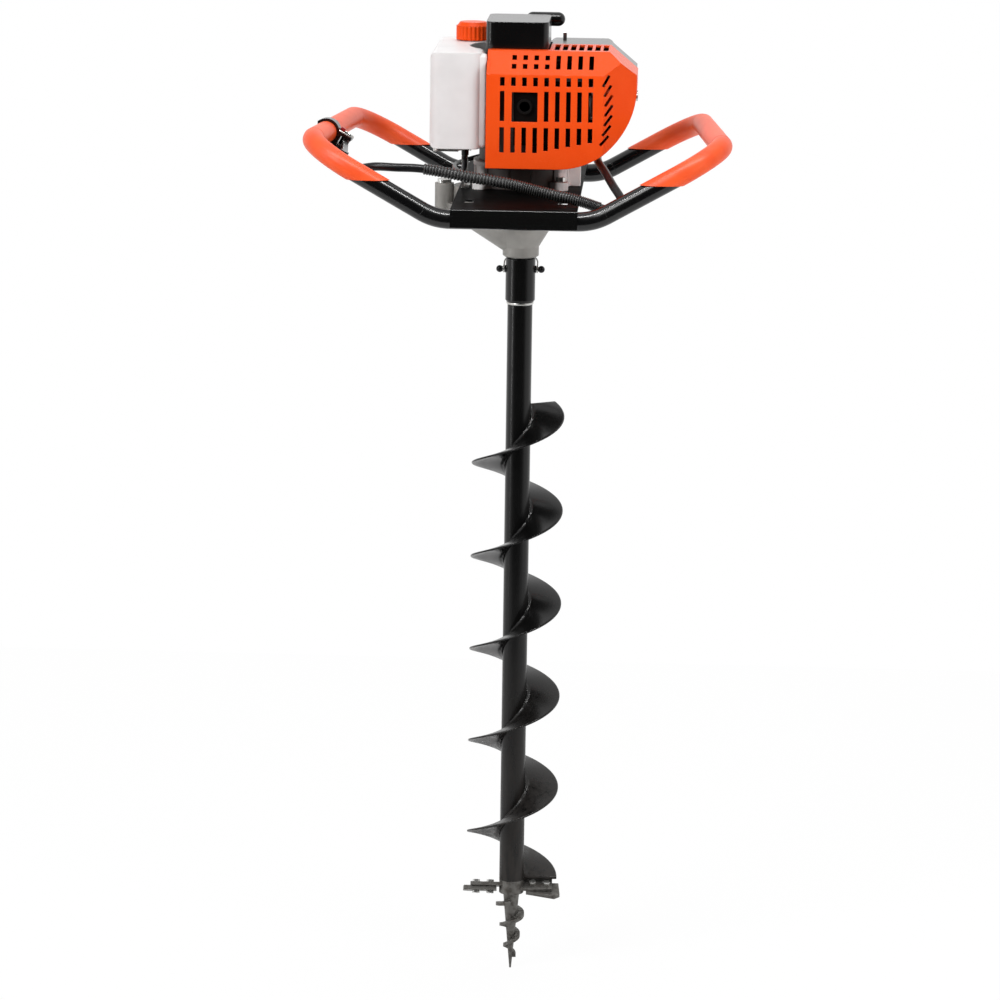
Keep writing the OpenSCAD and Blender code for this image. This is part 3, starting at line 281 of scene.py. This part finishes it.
sheath_rubber = rubber(
    "sheath_rubber", (0.005, 0.005, 0.006, 1), (0.012, 0.0115, 0.011, 1), 0.26
)
cable_path = smooth_curve(cable_route, 16)
cable = piece_from_grid("cable_sheath", tube_grid(cable_path, cable_d / 2))
wear(cable, sheath_rubber)
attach(cable, "powerhead")
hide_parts("throttle_cable")


# Ribbed conduit: a corrugated black tube over the middle of the cable. It has rounded ribs on the
# outside, a smooth bore, and a plain cut end on both sides.
conduit_first, conduit_last = 7, 12
ribs_per_span = 14
rib_steps = 8
crest_r, valley_r, bore_r = 0.0060, 0.0050, 0.0046
span_steps = ribs_per_span * rib_steps
whole_path = smooth_curve(cable_route, span_steps)
conduit_path = whole_path[conduit_first * span_steps : conduit_last * span_steps + 1]
rib_phase = np.arange(len(conduit_path)) * 2 * np.pi / rib_steps
rib_lift = np.sqrt(np.clip(0.5 - 0.5 * np.cos(rib_phase), 0, 1))
outside = tube_grid(conduit_path, valley_r + (crest_r - valley_r) * rib_lift, 24)
inside = tube_grid(conduit_path[:: 2 * rib_steps], bore_r, 24)[::-1]
conduit = piece_from_grid(
    "cable_conduit_ribs", np.vstack([outside, inside, outside[:1]]), capped=False
)
crest_share = np.concatenate([rib_lift, np.zeros(len(inside)), rib_lift[:1]])
crests = conduit.data.attributes.new("crest", "FLOAT", "POINT")
crests.data.foreach_set("value", np.repeat(crest_share, outside.shape[1]))


def ribbed_plastic(name, groove, crest):
    """Black plastic whose rib crests, marked on the mesh, are painted a lighter grey as a painted
    highlight on each rib, and are duller than the grooves between them."""
    material, place = new_material(name)
    on_crest = place.node("ShaderNodeAttribute", {"attribute_name": "crest"}, None, "Fac")
    # Painted highlight: the crests get the lighter colour that stands in for the light each rib
    # catches.
    painted_highlight = on_crest.step(0.55, 1.0) * (0.6 + 0.4 * place.noise(0.012))
    place.finish(
        Base_Color=painted_highlight.between(groove, crest),
        Roughness=0.2 + 0.15 * painted_highlight,
        Normal=place.relief(place.noise(0.0006, 2.0), 0.00003, 0.0002),
    )
    return material


# The lighter crest colour is a painted highlight along each rib of the conduit.
conduit_plastic = ribbed_plastic(
    "conduit_plastic", (0.002, 0.002, 0.002, 1), (0.025, 0.0245, 0.024, 1)
)
wear(conduit, conduit_plastic)
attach(conduit, "powerhead")
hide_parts("cable_conduit")


# Fuel hose: a soft black hose pushed on a grommet under the tank. It passes behind the clutch
# housing and ends on the nipple of the carburettor.
hose_d = 0.005
hose_route = np.array(
    [
        [-0.058, -0.062, 0.919],
        [-0.058, -0.062, 0.911],
        [-0.059, -0.057, 0.902],
        [-0.063, -0.044, 0.897],
        [-0.071, -0.012, 0.896],
        [-0.072, 0.028, 0.896],
        [-0.058, 0.058, 0.898],
        [-0.020, 0.075, 0.908],
        [0.018, 0.079, 0.930],
        [0.036, 0.079, 0.942],
        [0.048, 0.079, 0.943],
    ]
)
hose_path = smooth_curve(hose_route, 16)
hose = piece_from_grid("fuel_hose_tube", tube_grid(hose_path, hose_d / 2))
wear(hose, sheath_rubber)
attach(hose, "powerhead")
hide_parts("fuel_hose")


def turned(name, profile, centre, axis=(0, 0, 1), sides=40):
    """Piece of revolution: each row of the profile is a radius and a height along the axis, and its
    circle stands square to the axis, which starts at the centre."""
    radius, height = np.asarray(profile, float).T
    along = unit(np.asarray(axis, float))
    helper = [1.0, 0.0, 0.0] if abs(along[2]) > 0.9 else [0.0, 0.0, 1.0]
    side = unit(np.cross(helper, along))
    cross_side = np.cross(along, side)
    angle = np.linspace(0, 2 * np.pi, sides, endpoint=False)[:, None]
    spoke = side * np.cos(angle) + cross_side * np.sin(angle)
    grid = (
        np.asarray(centre, float)
        + height[:, None, None] * along
        + radius[:, None, None] * spoke
    )
    return piece_from_grid(name, grid)


grommet_foot = hose_route[0] - np.array([0, 0, 0.002])
grommet = turned(
    "hose_grommet",
    [
        [0.0034, 0.0],
        [0.0039, 0.0005],
        [0.0039, 0.0135],
        [0.0034, 0.014],
    ],
    grommet_foot,
)
wear(grommet, sheath_rubber)
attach(grommet, "powerhead")


# Ignition lead: a thick rubber wire from the coil, over the cylinder, to a moulded boot that sits
# on the spark plug. The wire enters the boot through an arm on its rear side.
lead_d = 0.005
plug_z = 0.967
boot_foot = (0.097, 0, plug_z)
arm_foot = (0.105, 0, plug_z)
lead_route = np.array(
    [
        [0.014, 0.052, 0.985],
        [0.030, 0.052, 0.987],
        [0.060, 0.050, 0.989],
        [0.090, 0.042, 0.979],
        [0.103, 0.028, 0.973],
        [0.105, 0.014, plug_z + 0.0005],
    ]
)
lead_path = smooth_curve(lead_route, 16)
lead = piece_from_grid("plug_lead_wire", tube_grid(lead_path, lead_d / 2))
boot = turned(
    "plug_boot",
    [
        [0.0044, 0.0],
        [0.0064, 0.0],
        [0.0070, 0.0008],
        [0.0070, 0.0138],
        [0.0058, 0.0150],
        [0.0001, 0.0150],
    ],
    boot_foot,
    (1, 0, 0),
)
boot_arm = turned(
    "plug_boot_arm",
    [[0.0050, 0.0], [0.0050, 0.0130], [0.0042, 0.0140], [0.0026, 0.0140]],
    arm_foot,
    (0, 1, 0),
)
for lead_piece in (lead, boot, boot_arm):
    wear(lead_piece, sheath_rubber)
    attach(lead_piece, "powerhead")
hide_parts("plug_lead")


# Tube frame: two bent rails under a folded plate, and a hand loop welded to both on each side. All
# of it is sprayed in gloss black, and the top of the plate has lost its gloss.
def lacquer(name, colour, bare, gloss, worn, dull_above=None):
    """Sprayed paint: orange-peel waves, a dull haze in broad patches, and edges that are rubbed to
    the bare colour over the share worn of their length. Where dull_above is given, the gloss is a
    clear coat that is worn off above that height."""
    material, place = new_material(name)
    peel = place.noise(0.0024, 1.0)
    haze = place.noise(0.05, 4.0).step(0.42, 0.8)
    rubbed = place.edge(0.0008) * place.noise(0.008, 4.0).step(0.75 - worn, 0.85 - worn)
    layers = {"Roughness": gloss + 0.08 * haze + 0.25 * rubbed}
    if dull_above:
        height = place.node("ShaderNodeSeparateXYZ", None, {"Vector": place}, "Z")
        layers["Coat_Weight"] = 1 - 0.97 * height.step(dull_above, dull_above + 0.0002)
        layers["Coat_Roughness"] = gloss
        layers["Roughness"] = 0.6 - 0.1 * haze
        layers["Specular_IOR_Level"] = 0.03
    place.finish(
        Base_Color=rubbed.between(colour, bare),
        Normal=place.relief(peel, 0.000001, 0.0008),
        **layers,
    )
    return material


def dress(material, *names):
    """Gives CAD nodes that material."""
    for name in names:
        wear(nodes[name], material)


bare_steel = (0.06, 0.06, 0.06, 1)
frame_paint = lacquer("frame_paint", (0.002, 0.002, 0.0022, 1), bare_steel, 0.18, 0.12)
dress(frame_paint, "front_rail", "rear_rail", "left_loop", "right_loop")
dress(frame_paint, "throttle_bracket", "throttle_lever")
plate_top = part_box("base_plate")[1][2]
dull_depth = 0.0003
plate_paint = lacquer(
    "plate_paint", (0.0015, 0.0015, 0.0015, 1), bare_steel, 0.12, 0.1, plate_top - dull_depth
)
dress(plate_paint, "base_plate")


# Grips: the upper part of each loop is dipped in soft orange plastic, which keeps faint runs from
# the dip and a dull touch.
def dipped_coat(name, colour, deep):
    """Dip coat: long soft waves, fine grain, and a deeper colour where the coat is thick."""
    material, place = new_material(name)
    runs = place.noise(0.02, 2.0)
    grain = place.noise(0.0008, 2.0)
    thick = runs.step(0.35, 0.75)
    place.finish(
        Base_Color=thick.between(colour, deep),
        Roughness=0.34 + 0.1 * grain,
        Specular_IOR_Level=0.3,
        Normal=place.relief(runs + 0.08 * grain, 0.00025, 0.0006),
    )
    return material


dress(
    dipped_coat("grip_coat", (0.88, 0.10, 0.020, 1), (0.84, 0.075, 0.012, 1)),
    "left_grip",
    "right_grip",
)


# Castings: gear case, gear cover, carburettor and cylinder are sand-cast alloy in a silver tone. The
# clutch housing is nearly white, and painted shade darkens it between its legs; the crankcase is dark.
def casting(name, light, dark, metal, gloss, painted_shade_half=0.0):
    """Cast alloy: sandy pits, cloudy tone and brighter rubbed edges. Where a half width is given last,
    the casting takes its dark tone as painted shade as far as that to either side of the middle."""
    material, place = new_material(name)
    sand = place.noise(0.0011, 4.0)
    cloud = place.noise(0.025, 5.0).step(0.35, 0.72)
    rubbed = place.edge(0.001) * place.noise(0.01, 3.0).step(0.4, 0.6)
    dull = cloud * (1 - rubbed)
    if painted_shade_half:
        across = place.node("ShaderNodeSeparateXYZ", None, {"Vector": place}, "X")
        off_middle = across.math("ABSOLUTE", across, 0.0) + 0.01 * cloud
        # Painted shade: near the middle, between the legs, the casting is darkened where the parts
        # around it shadow it.
        dull = 1 - off_middle.step(painted_shade_half - 0.006, painted_shade_half + 0.006) * (1 - 0.15 * cloud)
    place.finish(
        Base_Color=dull.between(light, dark),
        Roughness=gloss + 0.12 * sand - 0.1 * rubbed,
        Metallic=metal,
        Normal=place.relief(sand, 0.00018, 0.0012),
    )
    return material


dress(
    casting("case_casting", (0.30, 0.29, 0.27, 1), (0.23, 0.222, 0.208, 1), 0.2, 0.42),
    "gear_case",
    "gear_cover",
    "carburettor",
    "engine_cylinder",
)
# The clutch housing's dark tone is painted shade, laid within 45 mm either side of its middle.
dress(
    casting("housing_casting", (0.88, 0.87, 0.86, 1), (0.030, 0.023, 0.020, 1), 0.0, 0.45, 0.045),
    "clutch_housing",
)
dress(
    casting("engine_casting", (0.10, 0.095, 0.09, 1), (0.045, 0.042, 0.038, 1), 0.5, 0.45),
    "lower_crankcase",
    "upper_crankcase",
    "flywheel",
)


# Steel pieces: fasteners, the bail and the tank's bracket are zinc-plated, and the cross pin is blued.
# The shafts, gears and bearings inside are turned and ground.
def plated_steel(name, bright, dull, gloss):
    """Plated steel: fine tool lines, cloudy plating and small dark specks."""
    material, place = new_material(name)
    lines = place.noise(0.0012, 2.0, (1, 1, 8))
    cloud = place.noise(0.006, 4.0).step(0.4, 0.75)
    place.finish(
        Base_Color=cloud.between(bright, dull),
        Metallic=1.0,
        Roughness=gloss + 0.12 * lines + 0.1 * cloud,
        Normal=place.relief(lines, 0.00002, 0.0004),
    )
    return material


zinc = plated_steel("zinc_plate", (0.62, 0.62, 0.60, 1), (0.45, 0.44, 0.41, 1), 0.22)
dress(zinc, "case_screws", "oil_plug", "frame_bolts", "cowl_screws", "choke_lever", "pin_bail")
dress(zinc, "blade_bolts", "spark_plug", "tank_bracket")
blued_steel = plated_steel("blued_steel", (0.035, 0.035, 0.038, 1), (0.02, 0.02, 0.02, 1), 0.3)
dress(blued_steel, "cross_pin")
ground_steel = plated_steel("ground_steel", (0.50, 0.50, 0.50, 1), (0.40, 0.39, 0.38, 1), 0.28)
dress(ground_steel, "ball_bearings", "crankshaft", "clutch_shoes", "clutch_drum", "layshaft")
dress(ground_steel, "output_shaft")


# Rim of the throttle control: a bright plated frame, folded from thin strip, that edges the top of
# the control's block round its button.
loop_foot = np.array([-0.09525, 0, 0.87478])
arm_slope, loop_lean = np.radians([29.5, 4.4])
control_y, loop_end = -0.045, 0.12353
rim_left, rim_right, rim_near, rim_far = 0.0096, 0.0272, -0.0078, 0.0078
rim_low, rim_high, rim_wall = 0.0080, 0.0094, 0.0010
rim_corner = 0.35


def on_left_end(points):
    """Points of the control's own frame, X down the slope and Y along the loop end, in the frame of
    the part: turned by the lean, moved out along the arm and turned down by the arm's slope."""
    x, y, z = np.moveaxis(points, -1, 0)
    out_x = x * math.cos(loop_lean) + y * math.sin(loop_lean)
    out_y = y * math.cos(loop_lean) - x * math.sin(loop_lean) + control_y
    out_x = out_x + control_y * math.tan(loop_lean) - loop_end
    level_x = out_x * math.cos(arm_slope) + z * math.sin(arm_slope)
    level_z = z * math.cos(arm_slope) - out_x * math.sin(arm_slope)
    return loop_foot + np.stack([level_x, out_y, level_z], axis=-1)


def squared_ring(corner, columns=64):
    """Superellipse of half size 1: the sine and cosine of the angle, each raised to the power corner
    with its sign kept, so that a small corner gives a nearly square ring."""
    angle = np.linspace(0, 2 * np.pi, columns, endpoint=False)
    way = np.stack([np.cos(angle), np.sin(angle)], axis=-1)
    return np.sign(way) * np.abs(way) ** corner


def rim_grid():
    """Low wall round a rectangle: a squared ring, drawn in by the wall for the inner rows; rows go
    up the outside, over the top and down the inside."""
    half = np.array([rim_right - rim_left, rim_far - rim_near]) / 2
    middle_xy = np.array([rim_right + rim_left, rim_far + rim_near]) / 2
    inset = np.array([0, 0, 0.2, 0.8, 1, 1])[:, None, None] * rim_wall
    flat = middle_xy + (half - inset) * squared_ring(rim_corner)
    lift = np.array([0, 0.85, 1, 1, 0.85, 0]) * (rim_high - rim_low) + rim_low
    heights = np.broadcast_to(lift[:, None, None], flat.shape[:2] + (1,))
    rows = np.concatenate([flat, heights], axis=-1)
    return on_left_end(np.vstack([rows, rows[:1]]))


control_rim = piece_from_grid("control_rim", rim_grid(), capped=False)
wear(control_rim, zinc)
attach(control_rim, "powerhead")


# Muffler: a box of pressed steel sheet behind the square window of the cowl. Its black stove paint
# is burnt brown round the outlet by the exhaust.
outlet_place = (0.0055, -0.095, 0.973)


def burnt_sheet(name):
    """Stove paint that turns brown and dull within a few centimetres of the outlet."""
    material, place = new_material(name)
    outlet = place.node(
        "ShaderNodeVectorMath",
        {"operation": "DISTANCE"},
        {0: place, 1: outlet_place},
        "Value",
    )
    cloud = place.noise(0.008, 4.0)
    burnt = 1 - (outlet + 0.02 * cloud).step(0.012, 0.04)
    place.finish(
        Base_Color=burnt.between((0.0015, 0.0015, 0.0015, 1), (0.004, 0.003, 0.0025, 1)),
        Roughness=0.55 + 0.25 * burnt,
        Specular_IOR_Level=0.08,
        Normal=place.relief(cloud, 0.00008, 0.001),
    )
    return material


dress(burnt_sheet("burnt_sheet"), "muffler")


# Cowl: one moulding in gloss orange plastic over the muffler side, held by two screws. A lip closes
# the open left end of its sloping shoulder; the fuel cap is moulded in the same plastic.
def moulded_plastic(name, colour, shade, gloss, shine, edge_radius):
    """Moulded plastic: fine mould grain, faint flow clouds, and scuffed edges."""
    material, place = new_material(name)
    grain = place.noise(0.0007, 2.0)
    flow = place.noise(0.04, 3.0).step(0.4, 0.75)
    scuffed = place.edge(0.0008) * place.noise(0.005, 4.0).step(0.5, 0.62)
    place.finish(
        Base_Color=flow.between(colour, shade),
        Roughness=gloss + 0.06 * grain + 0.2 * scuffed,
        Specular_IOR_Level=shine,
        Normal=place.relief(grain, 0.00002, edge_radius),
    )
    return material


cowl_plastic = moulded_plastic(
    "cowl_plastic", (0.86, 0.080, 0.008, 1), (0.83, 0.070, 0.006, 1), 0.24, 0.1, 0.0016
)
dress(cowl_plastic, "engine_cowl", "fuel_cap")
shoulder_slope = math.radians(34)
shoulder_front = np.array([-0.097, 1.007])
lip_left, lip_right, lip_wall, lip_sink = -0.0350, -0.0312, 0.0018, 0.00005
lip_lower, lip_upper = 0.0054, 0.0247
up_shoulder = np.array([math.cos(shoulder_slope), math.sin(shoulder_slope)])
off_shoulder = np.array([-math.sin(shoulder_slope), math.cos(shoulder_slope)])
lip_edge = np.array(
    [
        shoulder_front + lip_upper * up_shoulder - lip_sink * off_shoulder,
        shoulder_front + lip_lower * up_shoulder - lip_sink * off_shoulder,
        shoulder_front + lip_lower * up_shoulder - lip_wall * off_shoulder,
        shoulder_front + lip_upper * up_shoulder - lip_wall * off_shoulder,
    ]
)
lip_grid = np.stack(
    [np.insert(lip_edge, 0, lip_x, axis=1) for lip_x in np.linspace(lip_left, lip_right, 3)]
)
cowl_lip = piece_from_grid("cowl_lip", lip_grid, smooth=False)
wear(cowl_lip, cowl_plastic)
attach(cowl_lip, "powerhead")


# Black covers: starter housing, rear shroud, filter and pull grip are moulded in gloss black plastic.
# Seal, pads and primer bulb are the rubber of the cables, and the stop button is moulded in red.
black_plastic = moulded_plastic(
    "black_plastic", (0.002, 0.002, 0.0022, 1), (0.004, 0.004, 0.004, 1), 0.16, 0.4, 0.0014
)
dress(black_plastic, "rear_shroud", "starter_housing", "filter_base", "filter_cover")
dress(black_plastic, "cover_knob", "pull_handle", "intake_block", "ignition_coil")
dress(sheath_rubber, "shaft_seal", "tank_pads", "primer_bulb")
dress(
    moulded_plastic(
        "button_red", (0.45, 0.012, 0.012, 1), (0.38, 0.010, 0.010, 1), 0.3, 0.5, 0.0006
    ),
    "stop_button",
)


# Filter element: a slab of open-cell foam that fills the filter cover, punched for the cover's stud
# and cut out at the choke lever. Its faces are crowned and its edges soft.
foam_stud = np.array([0.059, 0.095, 0.998])
foam_left, foam_right, foam_below, foam_above = 0.0298, 0.0298, 0.0578, 0.0208
foam_hole_r = 0.0032
lever_cut = 0.013


def foam_grid(columns=240):
    """Slab round a stud: at angle a it reaches from the hole to the side of the rectangle that the
    ray meets first, or to the lever cut on its left; rows go from the hole over the back, the rim
    and the front to the hole again."""
    angle = np.linspace(0, 2 * np.pi, columns, endpoint=False)
    across, along = np.cos(angle), -np.sin(angle)
    side = np.where(across > 0, foam_right, foam_left) / np.maximum(np.abs(across), 1e-6)
    end = np.where(along > 0, foam_above, foam_below) / np.maximum(np.abs(along), 1e-6)
    reach = np.minimum(side, end)
    reach = np.where(across < -0.93, np.minimum(reach, lever_cut), reach)
    share = np.array([0, 0.45, 0.9, 0.97, 1, 1, 0.97, 0.9, 0.45, 0])[:, None]
    depth = np.array([0.0006, 0.0002, 0.0004, 0.0010, 0.0030, 0.0140, 0.0160, 0.0166, 0.0168, 0.0164])
    radius = foam_hole_r + share * (reach - foam_hole_r)
    rows = np.stack(
        [radius * across, np.broadcast_to(depth[:, None], radius.shape), radius * along], axis=-1
    )
    return foam_stud + np.vstack([rows, rows[:1]])


def open_foam(name, colour, pit):
    """Open-cell foam: a net of dark pits, each about a millimetre wide."""
    material, place = new_material(name)
    cells = place.node(
        "ShaderNodeTexVoronoi", None, {"Vector": place, "Scale": 900.0}, "Distance"
    )
    hollow = cells.step(0.55, 0.2)
    place.finish(
        Base_Color=hollow.between(colour, pit),
        Roughness=0.85 + 0.1 * hollow,
        Normal=place.relief(1 - hollow, 0.0004, 0.0004),
    )
    return material


foam = piece_from_grid("filter_foam", foam_grid(), capped=False)
wear(foam, open_foam("open_foam", (0.09, 0.09, 0.09, 1), (0.012, 0.012, 0.012, 1)))
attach(foam, "powerhead")
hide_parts("filter_element")


# Tank: a blow-moulded box in milky white plastic, through which the light soaks a little. A rib on
# its right wall stands up to the edge of the cowl. The starter's reel is of the same plastic.
def milky_plastic(name):
    """Milky plastic: soft waves of the blown wall, fine grain and light inside the wall."""
    material, place = new_material(name)
    waves = place.noise(0.03, 2.0)
    grain = place.noise(0.0009, 2.0)
    place.finish(
        Base_Color=waves.step(0.3, 0.8).between((0.76, 0.74, 0.74, 1), (0.70, 0.68, 0.68, 1)),
        Roughness=0.36 + 0.08 * grain,
        Subsurface_Weight=0.25,
        Subsurface_Radius=(0.004, 0.004, 0.004),
        Normal=place.relief(waves + 0.05 * grain, 0.0003, 0.002),
    )
    return material


tank_plastic = milky_plastic("milky_plastic")
dress(tank_plastic, "fuel_tank", "starter_reel")


rib_middle = np.array([-0.0415, -0.0735])
rib_half = np.array([0.0060, 0.0085])
rib_low, rib_high, rib_round = 0.9275, 1.0258, 0.004
rib_corner = 0.4


def rib_grid():
    """Upright bar: a squared ring carried from the low to the high end, and drawn in within
    rib_round of both."""
    from_low = rib_low + rib_round * np.array([0, 0.25, 1])
    to_high = rib_high - rib_round * np.array([1, 0.25, 0])
    height = np.concatenate([from_low, to_high])
    size = np.array([0.6, 0.88, 1, 1, 0.88, 0.6])
    flat = rib_middle + size[:, None, None] * rib_half * squared_ring(rib_corner)
    return np.concatenate(
        [flat, np.broadcast_to(height[:, None, None], flat.shape[:2] + (1,))], axis=-1
    )


tank_rib = piece_from_grid("tank_rib", rib_grid())
wear(tank_rib, tank_plastic)
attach(tank_rib, "powerhead")


# Bit: tube, socket and flight are welded up and sprayed black; the bead under the socket is ground
# bright, and the cutter head and its blades are plain dark steel. Dry dust is left on the lower part.
dust_top, dust_full = 0.62, 0.12


def digging_paint(name, colour, bare, dust_colour):
    """Sprayed paint as on the frame, under dust that thins out upwards in streaks along the bit."""
    material, place = new_material(name)
    height = place.node("ShaderNodeSeparateXYZ", None, {"Vector": place}, "Z")
    streaks = place.noise(0.006, 4.0, (1, 1, 0.15))
    dust = (height + 0.3 * streaks).step(dust_top, dust_full) * streaks.step(0.25, 0.7)
    peel = place.noise(0.0024, 1.0)
    rubbed = place.edge(0.0008) * place.noise(0.008, 4.0).step(0.45, 0.55)
    painted = rubbed.between(colour, bare)
    place.finish(
        Base_Color=(0.75 * dust).between(painted, dust_colour),
        Roughness=0.22 + 0.4 * dust + 0.2 * rubbed,
        Specular_IOR_Level=0.3,
        Normal=place.relief(peel, 0.000005, 0.0008),
    )
    return material


bit_paint = digging_paint(
    "bit_paint", (0.003, 0.003, 0.003, 1), (0.13, 0.125, 0.12, 1), (0.036, 0.030, 0.026, 1)
)
dress(bit_paint, "bit_socket", "bit_tube")
dress(
    plated_steel("cutter_steel", (0.17, 0.165, 0.155, 1), (0.09, 0.082, 0.074, 1), 0.4),
    "cutter_head",
    "cutter_blades",
)
socket_weld = turned(
    "socket_weld",
    [
        [0.0134, -0.0022],
        [0.0142, -0.0018],
        [0.0147, -0.0009],
        [0.0147, 0.0003],
        [0.0134, 0.0008],
    ],
    (0, 0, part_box("bit_socket")[0][2]),
)
wear(socket_weld, zinc)
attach(socket_weld, "bit_unit")


# Flight: a steel strip wound round the tube, cold-rolled thinner towards its rim, and welded along
# its root on both faces with a rippled bead.
flight_low, flight_rise = 0.103, 0.104
flight_turns = 143 / 28
steps_per_turn = 160
ripples_per_turn = 20
bead_ripple = 0.00025
bead_radii = (0.0146, 0.0160)
strip_profile = np.array(
    [
        [0.0136, 0.0070],
        [0.0146, 0.0056],
        [0.0160, 0.0043],
        [0.0175, 0.0040],
        [0.0200, 0.0039],
        [0.0484, 0.0032],
        [0.0494, 0.0031],
        [0.0498, 0.0028],
        [0.0500, 0.0024],
        [0.0500, 0.0016],
        [0.0498, 0.0012],
        [0.0494, 0.0009],
        [0.0484, 0.0008],
        [0.0200, 0.0001],
        [0.0175, 0.0000],
        [0.0160, -0.0003],
        [0.0146, -0.0016],
        [0.0136, -0.0030],
    ]
)


def wound_strip(profile):
    """Profile of radius and height carried up a helix: after t turns it stands at angle 2 pi t and is
    lifted by flight_rise times t; its points at bead_radii swell ripples_per_turn times a turn."""
    turns = np.linspace(0, flight_turns, round(flight_turns * steps_per_turn) + 1)[:, None]
    radius, height = profile.T
    bead = np.isin(radius, bead_radii)
    swollen = radius + bead_ripple * bead * np.sin(2 * np.pi * ripples_per_turn * turns)
    angle = 2 * np.pi * turns
    lifted = flight_low + flight_rise * turns + height
    return np.stack([swollen * np.cos(angle), swollen * np.sin(angle), lifted], axis=-1)


flight = piece_from_grid("flight_strip", wound_strip(strip_profile))
wear(flight, bit_paint)
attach(flight, "bit_unit")
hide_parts("bit_flight")


# Studio: a pale floor sheet, one large soft lamp from the upper left, weaker ones from the right and
# above, strips that draw lights along the tubes, and a white surround whose front side is dim in gloss.
floor_half = 1.4
floor_glow = 0.95
front_dimming = 0.96
plain_light = 0.45
floor_grid = np.array(
    [
        [[-floor_half, -floor_half, 0], [floor_half, -floor_half, 0]],
        [[-floor_half, floor_half, 0], [floor_half, floor_half, 0]],
    ],
    float,
)
floor = piece_from_grid("studio_floor", floor_grid, round_way=False, capped=False, smooth=False)
floor_material, floor_place = new_material("floor_paper")
paper = floor_place.node(
    "ShaderNodeBsdfDiffuse", None, {"Color": (0.9, 0.9, 0.9, 1), "Roughness": 0.5}
)
glow = floor_place.node("ShaderNodeEmission", None, {"Color": (1, 1, 1, 1), "Strength": 1.0})
seen = floor_place.node("ShaderNodeLightPath", output="Is Camera Ray")
blended = floor_place.node("ShaderNodeMixShader", None, {0: seen * floor_glow, 1: paper, 2: glow})
floor_place.node("ShaderNodeOutputMaterial", None, {"Surface": blended})
wear(floor, floor_material)

world = bpy.data.worlds.new("studio")
world.use_nodes = True
world.node_tree.nodes.clear()
sky = Wire(world.node_tree)
by_camera = sky.node("ShaderNodeLightPath", output="Is Camera Ray")
by_gloss = sky.node("ShaderNodeLightPath", output="Is Glossy Ray")
by_glass = sky.node("ShaderNodeLightPath", output="Is Transmission Ray")
towards = sky.node("ShaderNodeTexCoord", output="Generated")
depth_way = sky.node("ShaderNodeSeparateXYZ", None, {"Vector": towards}, "Y")
dim_front = 1 - front_dimming * depth_way.step(-0.3, -0.8)
reflected = by_gloss.math("MAXIMUM", by_gloss, by_glass)
plainly_lit = plain_light * (1 - by_camera) * (1 - reflected)
surround = sky.node(
    "ShaderNodeBackground",
    None,
    {"Color": (1, 1, 1, 1), "Strength": by_camera + reflected * dim_front + plainly_lit},
)
sky.node("ShaderNodeOutputWorld", None, {"Surface": surround})
bpy.context.scene.world = world


def soft_lamp(name, place, aim, width, height, power, in_gloss=True, in_matt=True):
    """Rectangular area lamp at a place, turned to look at its aim, its width level. A lamp that
    isn't in_gloss lights the part but isn't mirrored in it; one that isn't in_matt is only mirrored."""
    data = bpy.data.lights.new(name, "AREA")
    data.shape = "RECTANGLE"
    data.size = width
    data.size_y = height
    data.energy = power
    lamp = bpy.data.objects.new(name, data)
    back = unit(np.asarray(place, float) - np.asarray(aim, float))
    side = unit(np.cross([0.0, 0.0, 1.0], back))
    stand = np.eye(4)
    stand[:3, 0], stand[:3, 1], stand[:3, 2] = side, np.cross(back, side), back
    stand[:3, 3] = place
    lamp.matrix_world = Matrix(stand.tolist())
    lamp.visible_glossy = in_gloss
    lamp.visible_diffuse = in_matt
    bpy.context.scene.collection.objects.link(lamp)


middle = (0, 0, 0.8)
soft_lamp("lamp_left", (-1.8, -2.2, 2.6), middle, 1.6, 1.6, 65)
soft_lamp("lamp_right", (2.2, -2.0, 1.3), middle, 1.6, 1.6, 36, in_gloss=False)
soft_lamp("lamp_top", (0.2, 0.6, 3.0), middle, 1.4, 1.4, 25, in_gloss=False)
soft_lamp("strip_over", (0, -1.0, 2.9), middle, 2.6, 0.12, 70, in_matt=False)
soft_lamp("strip_left", (-2.4, -1.0, 1.2), middle, 0.14, 2.2, 14, in_matt=False)
bpy.context.scene.view_settings.view_transform = "Standard"
